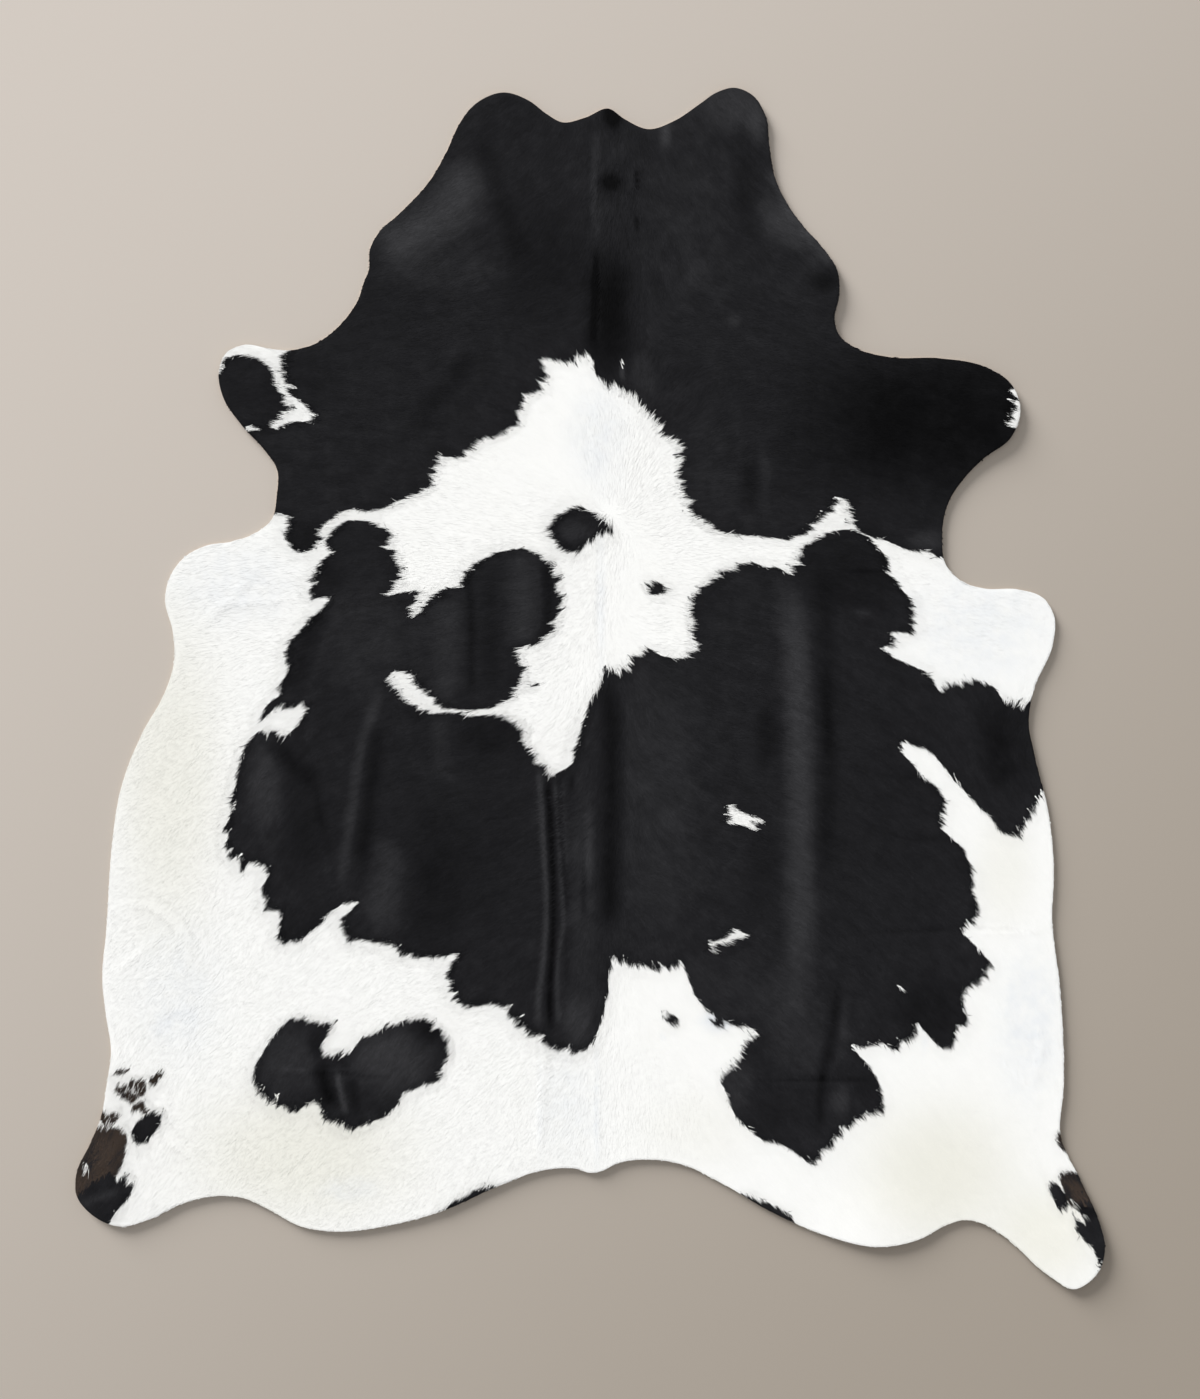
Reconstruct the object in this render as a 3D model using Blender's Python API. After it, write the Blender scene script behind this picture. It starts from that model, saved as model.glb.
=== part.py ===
"""A cowhide rug: one whole tanned hide lying hair side up on a floor.

The hide is one sheet of leather with the cut outline of the animal: cheeks and poll at the
top, forelegs, flanks, hind legs and the root of the tail. It lies flat on the floor apart
from the low folds that rolling and folding left in it and a few edges that lift a little.

Metres, +Z up, the head end towards +Y. The origin is under the middle of the outline's
bounding box, on the floor.
"""

from collections import namedtuple

import bmesh
import bpy
import numpy as np
from mathutils.geometry import delaunay_2d_cdt
from mathutils.kdtree import KDTree

MM = 0.001

THICKNESS = 3.0  # tanned leather of a grown animal, without the hair
LEATHER = (0.62, 0.52, 0.42)
LEATHER_ROUGHNESS = 0.85

EDGE_STEP = 14.0  # between points along the cut edge
GRID_STEP = 48.0  # between points where the sheet is plain
FOLD_STEP = 34.0  # between rows of points along a fold
ACROSS_STEP = 13.0  # between the points of a wide fold's row
LEAST_ACROSS = 2  # points on each side of a narrow fold's crest
GRID_GAP = 25.0  # nearest that a plain point comes to the edge or to a fold's point
FOLD_GAP = 4.5  # nearest that a fold's point comes to any other

# The cut edge, clockwise seen from above, as (x, y) in millimetres from the spine's middle.
# Each stretch has the few points that its curve turns at.
OUTLINE = {
    "left neck": (
        (-420, 661), (-406, 685), (-399, 708), (-388, 737), (-387, 769),
        (-374, 796), (-332, 836), (-280, 893), (-252, 942),
    ),
    "left cheek": ((-228, 993), (-200, 1026), (-152, 1045), (-105, 1030)),
    "poll": ((-77, 1009), (-49, 994), (-9, 1002), (33, 1018), (60, 1000), (102, 982)),
    "right cheek": ((149, 997), (192, 1025), (222, 1045), (252, 1053), (285, 1040), (308, 1004)),
    "right neck": (
        (315, 951), (327, 890), (345, 853), (374, 812), (406, 776),
        (434, 732), (436, 683), (429, 652), (438, 619), (466, 598),
    ),
    "right foreleg": (
        (525, 582), (612, 580), (693, 564), (737, 535), (754, 487),
        (738, 440), (690, 403), (656, 368), (630, 328), (618, 260),
    ),
    "right elbow": (
        (625, 216), (649, 190), (691, 176), (752, 174), (794, 160), (814, 129), (812, 76),
    ),
    "right girth": ((780, 1), (770, -59), (780, -116), (805, -221), (814, -318)),
    "right flank": ((811, -405), (824, -519), (831, -633), (831, -703), (826, -787)),
    "right hind leg": (
        (859, -860), (892, -934), (902, -977), (891, -1021),
        (847, -1053), (805, -1030), (724, -960), (688, -939),
    ),
    "right rump": (
        (658, -933), (625, -942), (581, -965), (504, -979),
        (424, -963), (341, -930), (228, -867), (166, -837),
    ),
    "tail root": (
        (105, -827), (47, -834), (18, -848), (-3, -850), (-20, -844), (-52, -842), (-96, -849),
    ),
    "left rump": (
        (-158, -872), (-262, -918), (-350, -942), (-455, -953),
        (-508, -944), (-565, -914), (-607, -895),
    ),
    "left hind leg": (
        (-656, -891), (-709, -902), (-779, -934), (-822, -944), (-870, -925),
        (-900, -888), (-900, -850), (-878, -801), (-859, -755),
    ),
    "left flank": (
        (-849, -699), (-841, -636), (-850, -571), (-856, -515),
        (-849, -423), (-838, -265), (-828, -195),
    ),
    "left girth": ((-812, -139), (-782, -71), (-747, -8), (-730, 50), (-733, 102)),
    "left elbow": (
        (-746, 155), (-740, 190), (-718, 225), (-674, 251),
        (-630, 258), (-586, 274), (-560, 295), (-550, 339),
    ),
    "left foreleg": (
        (-550, 386), (-572, 419), (-612, 463), (-644, 512), (-651, 550), (-637, 589),
        (-604, 603), (-560, 596), (-522, 594), (-481, 606), (-443, 634),
    ),
}

# A fold is a low soft ridge along its crest. It runs out over its taper at each end.
Fold = namedtuple("Fold", "half_width height taper crest")
FOLDS = {
    "right flank": Fold(56, 8.5, 150, ((378, 225), (387, -20), (392, -283), (392, -510), (382, -654))),
    "right flank inner": Fold(26, 3.0, 90, ((284, 85), (287, -73), (280, -195))),
    "right flank outer": Fold(18, 3.0, 60, ((443, -475), (450, -598), (448, -703))),
    "right rump": Fold(16, 3.0, 60, ((231, -683), (368, -689), (511, -685))),
    "right girth": Fold(12, 2.2, 40, ((674, -129), (726, -134), (784, -129))),
    "right side": Fold(12, 2.5, 40, ((668, -417), (738, -419), (805, -414))),
    "right hock": Fold(16, 2.5, 40, ((779, -563), (788, -633), (770, -694))),
    "spine left": Fold(14, 4.5, 90, ((-81, -143), (-77, -370), (-79, -545), (-84, -834))),
    "spine middle": Fold(10, 3.0, 80, ((-44, -169), (-42, -370), (-47, -615))),
    "spine right": Fold(10, 2.5, 80, ((-19, -160), (-18, -370), (-23, -598))),
    "tail": Fold(12, 2.5, 50, ((12, -633), (13, -730), (14, -834))),
    "left body": Fold(34, 4.5, 80, ((-207, 216), (-201, 85), (-203, -29))),
    "left body inner": Fold(32, 4.5, 80, ((-105, 225), (-100, 85), (-109, -20))),
    "left flank": Fold(20, 3.5, 90, ((-361, 15), (-375, -125), (-399, -283), (-417, -388))),
    "left flank inner": Fold(40, 4.0, 90, ((-298, -248), (-305, -353), (-319, -475))),
    "left flank outer": Fold(34, 3.5, 80, ((-525, -90), (-525, -195), (-508, -318))),
    "left side bow": Fold(16, 3.0, 50, ((-831, -379), (-761, -379), (-709, -431), (-700, -519))),
    "left side chord": Fold(12, 2.5, 40, ((-837, -501), (-788, -466), (-744, -423))),
    "left rump": Fold(16, 3.0, 50, ((-441, -633), (-434, -703), (-438, -781))),
    "left rump cross": Fold(12, 2.2, 50, ((-586, -671), (-455, -671), (-341, -682))),
    "left hock": Fold(14, 3.0, 40, ((-747, -694), (-735, -790), (-674, -825))),
    "left shoulder": Fold(12, 2.5, 50, ((-674, 144), (-595, 150), (-499, 155))),
    "left shoulder slant": Fold(14, 2.5, 50, ((-560, 225), (-627, 158), (-700, 85))),
    "mane": Fold(44, 4.5, 120, ((38, 977), (49, 767), (45, 610), (26, 522))),
    "left neck": Fold(40, 3.5, 110, ((-158, 960), (-147, 820), (-123, 627))),
}

# Where the hide doesn't quite touch the floor: a round lift about a point near the edge.
Lift = namedtuple("Lift", "x y radius height")
LIFTS = {
    "right foreleg": Lift(735, 480, 170, 6),
    "left foreleg": Lift(-640, 545, 150, 5),
    "right cheek": Lift(250, 1045, 150, 5),
    "left cheek": Lift(-165, 1040, 130, 4),
    "right neck": Lift(440, 700, 110, 5),
    "right hind leg": Lift(885, -1000, 180, 7),
    "left hind leg": Lift(-890, -890, 160, 5),
    "right rump": Lift(505, -975, 150, 5),
}


def clear_scene():
    for thing in list(bpy.data.objects):
        bpy.data.objects.remove(thing, do_unlink=True)


def smooth_curve(points, step, closed):
    """A smooth curve through the points, as points about a step apart.

    A point's direction is the mean of the two chords that meet there, each weighted by the
    length of the other one, so that a short span beside a long one doesn't overshoot.
    """
    here = np.array(points, float)
    chord = np.roll(here, -1, axis=0) - here
    length = np.linalg.norm(chord, axis=1, keepdims=True)
    slope = chord / length
    length_before = np.roll(length, 1, axis=0)
    slope_before = np.roll(slope, 1, axis=0)
    direction = (slope_before * length + slope * length_before) / (length_before + length)
    spans = len(here)
    if not closed:
        direction[0] = slope[0]
        direction[-1] = slope[-2]
        spans -= 1
    curve = []
    for i in range(spans):
        j = (i + 1) % len(here)
        count = max(1, round(float(length[i, 0]) / step))
        t = (np.arange(count) / count)[:, None]
        curve.append(
            (2 * t**3 - 3 * t**2 + 1) * here[i]
            + (t**3 - 2 * t**2 + t) * length[i] * direction[i]
            + (3 * t**2 - 2 * t**3) * here[j]
            + (t**3 - t**2) * length[i] * direction[j]
        )
    if not closed:
        curve.append(here[-1:])
    return np.concatenate(curve)


def soft(share):
    """1 at share 0, falling to 0 at share 1 and past it, level at both."""
    return 0.5 + 0.5 * np.cos(np.pi * np.clip(share, 0.0, 1.0))


def lift_at(places):
    """How far the sheet's underside is off the floor, in millimetres, at each (x, y)."""
    lift = np.zeros(len(places))
    for fold in FOLDS.values():
        crest = smooth_curve(fold.crest, FOLD_STEP, closed=False)
        run = np.linalg.norm(np.diff(crest, axis=0), axis=1)
        start = np.concatenate(([0.0], np.cumsum(run)[:-1]))
        along_span = np.diff(crest, axis=0) / run[:, None]
        offset = places[:, None, :] - crest[None, :-1, :]
        along = np.clip((offset * along_span).sum(axis=2), 0.0, run)
        across = np.linalg.norm(offset - along[..., None] * along_span, axis=2)
        nearest = across.argmin(axis=1)
        rows = np.arange(len(places))
        from_start = (start + along)[rows, nearest]
        from_end = run.sum() - from_start
        from_crest = across[rows, nearest]
        ends = soft(1 - np.minimum(from_start, from_end) / fold.taper)
        lift += fold.height * ends * soft(from_crest / fold.half_width)
    for spot in LIFTS.values():
        away = np.linalg.norm(places - (spot.x, spot.y), axis=1)
        lift += spot.height * soft(away / spot.radius)
    return lift


def fold_points():
    """Rows of points across every fold, so that the triangles follow its crest and its feet."""
    found = []
    for fold in FOLDS.values():
        crest = smooth_curve(fold.crest, FOLD_STEP, closed=False)
        along = np.gradient(crest, axis=0)
        along /= np.linalg.norm(along, axis=1, keepdims=True)
        sideways = np.stack((-along[:, 1], along[:, 0]), axis=1)
        each_side = max(LEAST_ACROSS, round(fold.half_width / ACROSS_STEP))
        for step in range(-each_side, each_side + 1):
            found.extend(crest + fold.half_width * step / each_side * sideways)
    return found


def grid_points(edge):
    """Points of an even triangular grid over the outline's bounding box."""
    low = edge.min(axis=0)
    high = edge.max(axis=0)
    row_step = GRID_STEP * np.sqrt(0.75)
    found = []
    for row in range(int((high[1] - low[1]) / row_step) + 1):
        shift = GRID_STEP / 2 * (row % 2)
        for x in np.arange(low[0] + shift, high[0], GRID_STEP):
            found.append(np.array((x, low[1] + row * row_step)))
    return found


def spaced_out(kept, wanted, gap):
    """The kept points and each wanted one that is at least a gap from all those before it."""
    tree = KDTree(len(kept))
    for i, place in enumerate(kept):
        tree.insert((place[0], place[1], 0.0), i)
    tree.balance()
    added = []
    for place in wanted:
        spot = (place[0], place[1], 0.0)
        if tree.find(spot)[2] < gap:
            continue
        if added and np.min(np.linalg.norm(np.array(added) - place, axis=1)) < gap:
            continue
        added.append(place)
    return list(kept) + added


def hide_triangles(edge):
    """(places, faces) of flat triangles that fill the outline, finer on the folds."""
    with_folds = spaced_out(edge, fold_points(), FOLD_GAP)
    places = spaced_out(with_folds, grid_points(edge), GRID_GAP)
    inside_only = 1
    found = delaunay_2d_cdt(
        [tuple(place) for place in places], [], [list(range(len(edge)))], inside_only, 1e-4
    )
    return np.array([tuple(place) for place in found[0]]), found[2]


def hide_mesh():
    """The leather: a sheet lifted along its folds, with its thickness above its underside."""
    corners = [point for stretch in OUTLINE.values() for point in stretch]
    edge = smooth_curve(corners, EDGE_STEP, closed=True)
    edge -= (edge.min(axis=0) + edge.max(axis=0)) / 2
    places, faces = hide_triangles(edge)
    lift = lift_at(places)
    mesh = bmesh.new()
    underside = [mesh.verts.new((x, y, z)) for (x, y), z in zip(places * MM, lift * MM)]
    for face in faces:
        mesh.faces.new([underside[i] for i in face])
    raised = bmesh.ops.extrude_face_region(mesh, geom=mesh.faces[:])
    top = [part for part in raised["geom"] if isinstance(part, bmesh.types.BMVert)]
    bmesh.ops.translate(mesh, verts=top, vec=(0.0, 0.0, THICKNESS * MM))
    bmesh.ops.recalc_face_normals(mesh, faces=mesh.faces[:])
    return mesh


def leather_material():
    material = bpy.data.materials.new("leather")
    material.use_nodes = True
    surface = material.node_tree.nodes["Principled BSDF"]
    surface.inputs["Base Color"].default_value = (*LEATHER, 1.0)
    surface.inputs["Roughness"].default_value = LEATHER_ROUGHNESS
    surface.inputs["Metallic"].default_value = 0.0
    return material


def make_hide():
    mesh = bpy.data.meshes.new("hide")
    shape = hide_mesh()
    shape.to_mesh(mesh)
    shape.free()
    mesh.shade_smooth()
    mesh.set_sharp_from_angle(angle=np.radians(50))
    mesh.materials.append(leather_material())
    hide = bpy.data.objects.new("hide", mesh)
    bpy.context.scene.collection.objects.link(hide)


clear_scene()
make_hide()
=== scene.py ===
"""The looks of the cowhide rug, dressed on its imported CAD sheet.

The hide is a thin closed sheet with the CAD's outline, folds and lifts and some finer
creases: suede leather below and at the cut edge, and the bed of the coat on top. The coat
is locks of short hair that lie on it along the way they grow, in joined meshes by colour.
A lock is white, black or brown by the patch that its middle lies in, so that the borders
between the patches are made of hair tips, as they are on the animal. Here and there a few
white hairs also grow among the dark ones.

Tables are in millimetres, in the CAD's frame: +Y to the head end, +Z up.
"""

import functools
from collections import namedtuple

import bpy
import numpy as np
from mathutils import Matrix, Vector
from mathutils.geometry import delaunay_2d_cdt


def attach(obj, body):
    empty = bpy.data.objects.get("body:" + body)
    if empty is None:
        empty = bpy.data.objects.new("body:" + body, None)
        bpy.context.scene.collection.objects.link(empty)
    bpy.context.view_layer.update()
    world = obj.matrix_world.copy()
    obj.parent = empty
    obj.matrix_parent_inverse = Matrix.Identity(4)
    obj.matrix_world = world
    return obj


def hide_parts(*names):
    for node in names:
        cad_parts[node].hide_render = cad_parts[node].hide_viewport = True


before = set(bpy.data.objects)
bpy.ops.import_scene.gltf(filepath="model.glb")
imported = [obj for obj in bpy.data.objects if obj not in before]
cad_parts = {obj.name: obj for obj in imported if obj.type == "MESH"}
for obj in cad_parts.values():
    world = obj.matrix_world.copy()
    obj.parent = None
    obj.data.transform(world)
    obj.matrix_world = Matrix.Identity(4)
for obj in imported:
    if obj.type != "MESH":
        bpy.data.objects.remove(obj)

bl_info = {
    "name": "Cowhide rug",
    "version": (1, 0, 0),
    "blender": (4, 5, 0),
    "location": "3D View > Sidebar > Rug",
    "description": "Makes the hide, its coat of hair and the studio of a cowhide rug",
    "category": "Object",
}

MM = 0.001

# The CAD sheet's cut edge, clockwise seen from above.
OUTLINE = {
    "left neck": (
        (-420, 661), (-406, 685), (-399, 708), (-388, 737), (-387, 769),
        (-374, 796), (-332, 836), (-280, 893), (-252, 942),
    ),
    "left cheek": ((-228, 993), (-200, 1026), (-152, 1045), (-105, 1030)),
    "poll": ((-77, 1009), (-49, 994), (-9, 1002), (33, 1018), (60, 1000), (102, 982)),
    "right cheek": ((149, 997), (192, 1025), (222, 1045), (252, 1053), (285, 1040), (308, 1004)),
    "right neck": (
        (315, 951), (327, 890), (345, 853), (374, 812), (406, 776),
        (434, 732), (436, 683), (429, 652), (438, 619), (466, 598),
    ),
    "right foreleg": (
        (525, 582), (612, 580), (693, 564), (737, 535), (754, 487),
        (738, 440), (690, 403), (656, 368), (630, 328), (618, 260),
    ),
    "right elbow": (
        (625, 216), (649, 190), (691, 176), (752, 174), (794, 160), (814, 129), (812, 76),
    ),
    "right girth": ((780, 1), (770, -59), (780, -116), (805, -221), (814, -318)),
    "right flank": ((811, -405), (824, -519), (831, -633), (831, -703), (826, -787)),
    "right hind leg": (
        (859, -860), (892, -934), (902, -977), (891, -1021),
        (847, -1053), (805, -1030), (724, -960), (688, -939),
    ),
    "right rump": (
        (658, -933), (625, -942), (581, -965), (504, -979),
        (424, -963), (341, -930), (228, -867), (166, -837),
    ),
    "tail root": (
        (105, -827), (47, -834), (18, -848), (-3, -850), (-20, -844), (-52, -842), (-96, -849),
    ),
    "left rump": (
        (-158, -872), (-262, -918), (-350, -942), (-455, -953),
        (-508, -944), (-565, -914), (-607, -895),
    ),
    "left hind leg": (
        (-656, -891), (-709, -902), (-779, -934), (-822, -944), (-870, -925),
        (-900, -888), (-900, -850), (-878, -801), (-859, -755),
    ),
    "left flank": (
        (-849, -699), (-841, -636), (-850, -571), (-856, -515),
        (-849, -423), (-838, -265), (-828, -195),
    ),
    "left girth": ((-812, -139), (-782, -71), (-747, -8), (-730, 50), (-733, 102)),
    "left elbow": (
        (-746, 155), (-740, 190), (-718, 225), (-674, 251),
        (-630, 258), (-586, 274), (-560, 295), (-550, 339),
    ),
    "left foreleg": (
        (-550, 386), (-572, 419), (-612, 463), (-644, 512), (-651, 550), (-637, 589),
        (-604, 603), (-560, 596), (-522, 594), (-481, 606), (-443, 634),
    ),
}

# The CAD sheet's folds. A fold is a low soft ridge along its crest, which runs out over its
# taper at each end.
Fold = namedtuple("Fold", "half_width height taper crest")
FOLDS = {
    "right flank": Fold(56, 8.5, 150, ((378, 225), (387, -20), (392, -283), (392, -510), (382, -654))),
    "right flank inner": Fold(26, 3.0, 90, ((284, 85), (287, -73), (280, -195))),
    "right flank outer": Fold(18, 3.0, 60, ((443, -475), (450, -598), (448, -703))),
    "right rump": Fold(16, 3.0, 60, ((231, -683), (368, -689), (511, -685))),
    "right girth": Fold(12, 2.2, 40, ((674, -129), (726, -134), (784, -129))),
    "right side": Fold(12, 2.5, 40, ((668, -417), (738, -419), (805, -414))),
    "right hock": Fold(16, 2.5, 40, ((779, -563), (788, -633), (770, -694))),
    "spine left": Fold(14, 4.5, 90, ((-81, -143), (-77, -370), (-79, -545), (-84, -834))),
    "spine middle": Fold(10, 3.0, 80, ((-44, -169), (-42, -370), (-47, -615))),
    "spine right": Fold(10, 2.5, 80, ((-19, -160), (-18, -370), (-23, -598))),
    "tail": Fold(12, 2.5, 50, ((12, -633), (13, -730), (14, -834))),
    "left body": Fold(34, 4.5, 80, ((-207, 216), (-201, 85), (-203, -29))),
    "left body inner": Fold(32, 4.5, 80, ((-105, 225), (-100, 85), (-109, -20))),
    "left flank": Fold(20, 3.5, 90, ((-361, 15), (-375, -125), (-399, -283), (-417, -388))),
    "left flank inner": Fold(40, 4.0, 90, ((-298, -248), (-305, -353), (-319, -475))),
    "left flank outer": Fold(34, 3.5, 80, ((-525, -90), (-525, -195), (-508, -318))),
    "left side bow": Fold(16, 3.0, 50, ((-831, -379), (-761, -379), (-709, -431), (-700, -519))),
    "left side chord": Fold(12, 2.5, 40, ((-837, -501), (-788, -466), (-744, -423))),
    "left rump": Fold(16, 3.0, 50, ((-441, -633), (-434, -703), (-438, -781))),
    "left rump cross": Fold(12, 2.2, 50, ((-586, -671), (-455, -671), (-341, -682))),
    "left hock": Fold(14, 3.0, 40, ((-747, -694), (-735, -790), (-674, -825))),
    "left shoulder": Fold(12, 2.5, 50, ((-674, 144), (-595, 150), (-499, 155))),
    "left shoulder slant": Fold(14, 2.5, 50, ((-560, 225), (-627, 158), (-700, 85))),
    "mane": Fold(44, 4.5, 120, ((38, 977), (49, 767), (45, 610), (26, 522))),
    "left neck": Fold(40, 3.5, 110, ((-158, 960), (-147, 820), (-123, 627))),
}

# Where the hide doesn't quite touch the floor: a round lift about a point near the edge.
Lift = namedtuple("Lift", "x y radius height")
LIFTS = {
    "right foreleg": Lift(735, 480, 170, 6),
    "left foreleg": Lift(-640, 545, 150, 5),
    "right cheek": Lift(250, 1045, 150, 5),
    "left cheek": Lift(-165, 1040, 130, 4),
    "right neck": Lift(440, 700, 110, 5),
    "right hind leg": Lift(885, -1000, 180, 7),
    "left hind leg": Lift(-890, -890, 160, 5),
    "right rump": Lift(505, -975, 150, 5),
}

# Finer creases that only the coat shows: as folds, and a height under 0 is a furrow.
CREASES = {
    "left rump": Fold(9, 1.2, 40, ((-436, -640), (-440, -700), (-434, -760))),
    "left rump furrow": Fold(8, -1.2, 40, ((-458, -640), (-462, -700), (-452, -760))),
    "left rump cross": Fold(6, -1.0, 60, ((-525, -675), (-450, -673), (-380, -677))),
    "right rump cross": Fold(7, -1.4, 60, ((240, -686), (370, -684), (508, -687))),
    "right side cross": Fold(7, -1.0, 50, ((640, -415), (730, -418), (790, -412))),
    "spine": Fold(6, -0.9, 80, ((14, 250), (16, 130), (15, 60))),
    "tail": Fold(6, -0.5, 60, ((12, -640), (13, -730), (12, -820))),
    "tail left": Fold(6, -0.4, 60, ((-88, -640), (-88, -730), (-90, -820))),
    "left side upper": Fold(8, 0.3, 50, ((-800, -372), (-748, -392), (-716, -440))),
    "left side lower": Fold(8, 0.3, 50, ((-790, -540), (-740, -470), (-700, -430))),
    "right side upper": Fold(7, 1.0, 50, ((700, -530), (745, -590), (800, -640))),
    "right side lower": Fold(7, -1.0, 50, ((690, -620), (735, -660), (790, -720))),
    "left leg": Fold(8, -0.4, 50, ((-480, -800), (-520, -850), (-600, -850))),
    "withers": Fold(8, -0.8, 60, ((-10, 480), (0, 420), (-6, 350))),
    "mane left": Fold(7, 1.4, 60, ((8, 960), (12, 860), (4, 780))),
    "mane furrow": Fold(7, -1.6, 60, ((12, 780), (16, 690), (12, 590))),
    "mane slit": Fold(5, -1.6, 30, ((82, 925), (83, 885), (80, 850))),
}

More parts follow.
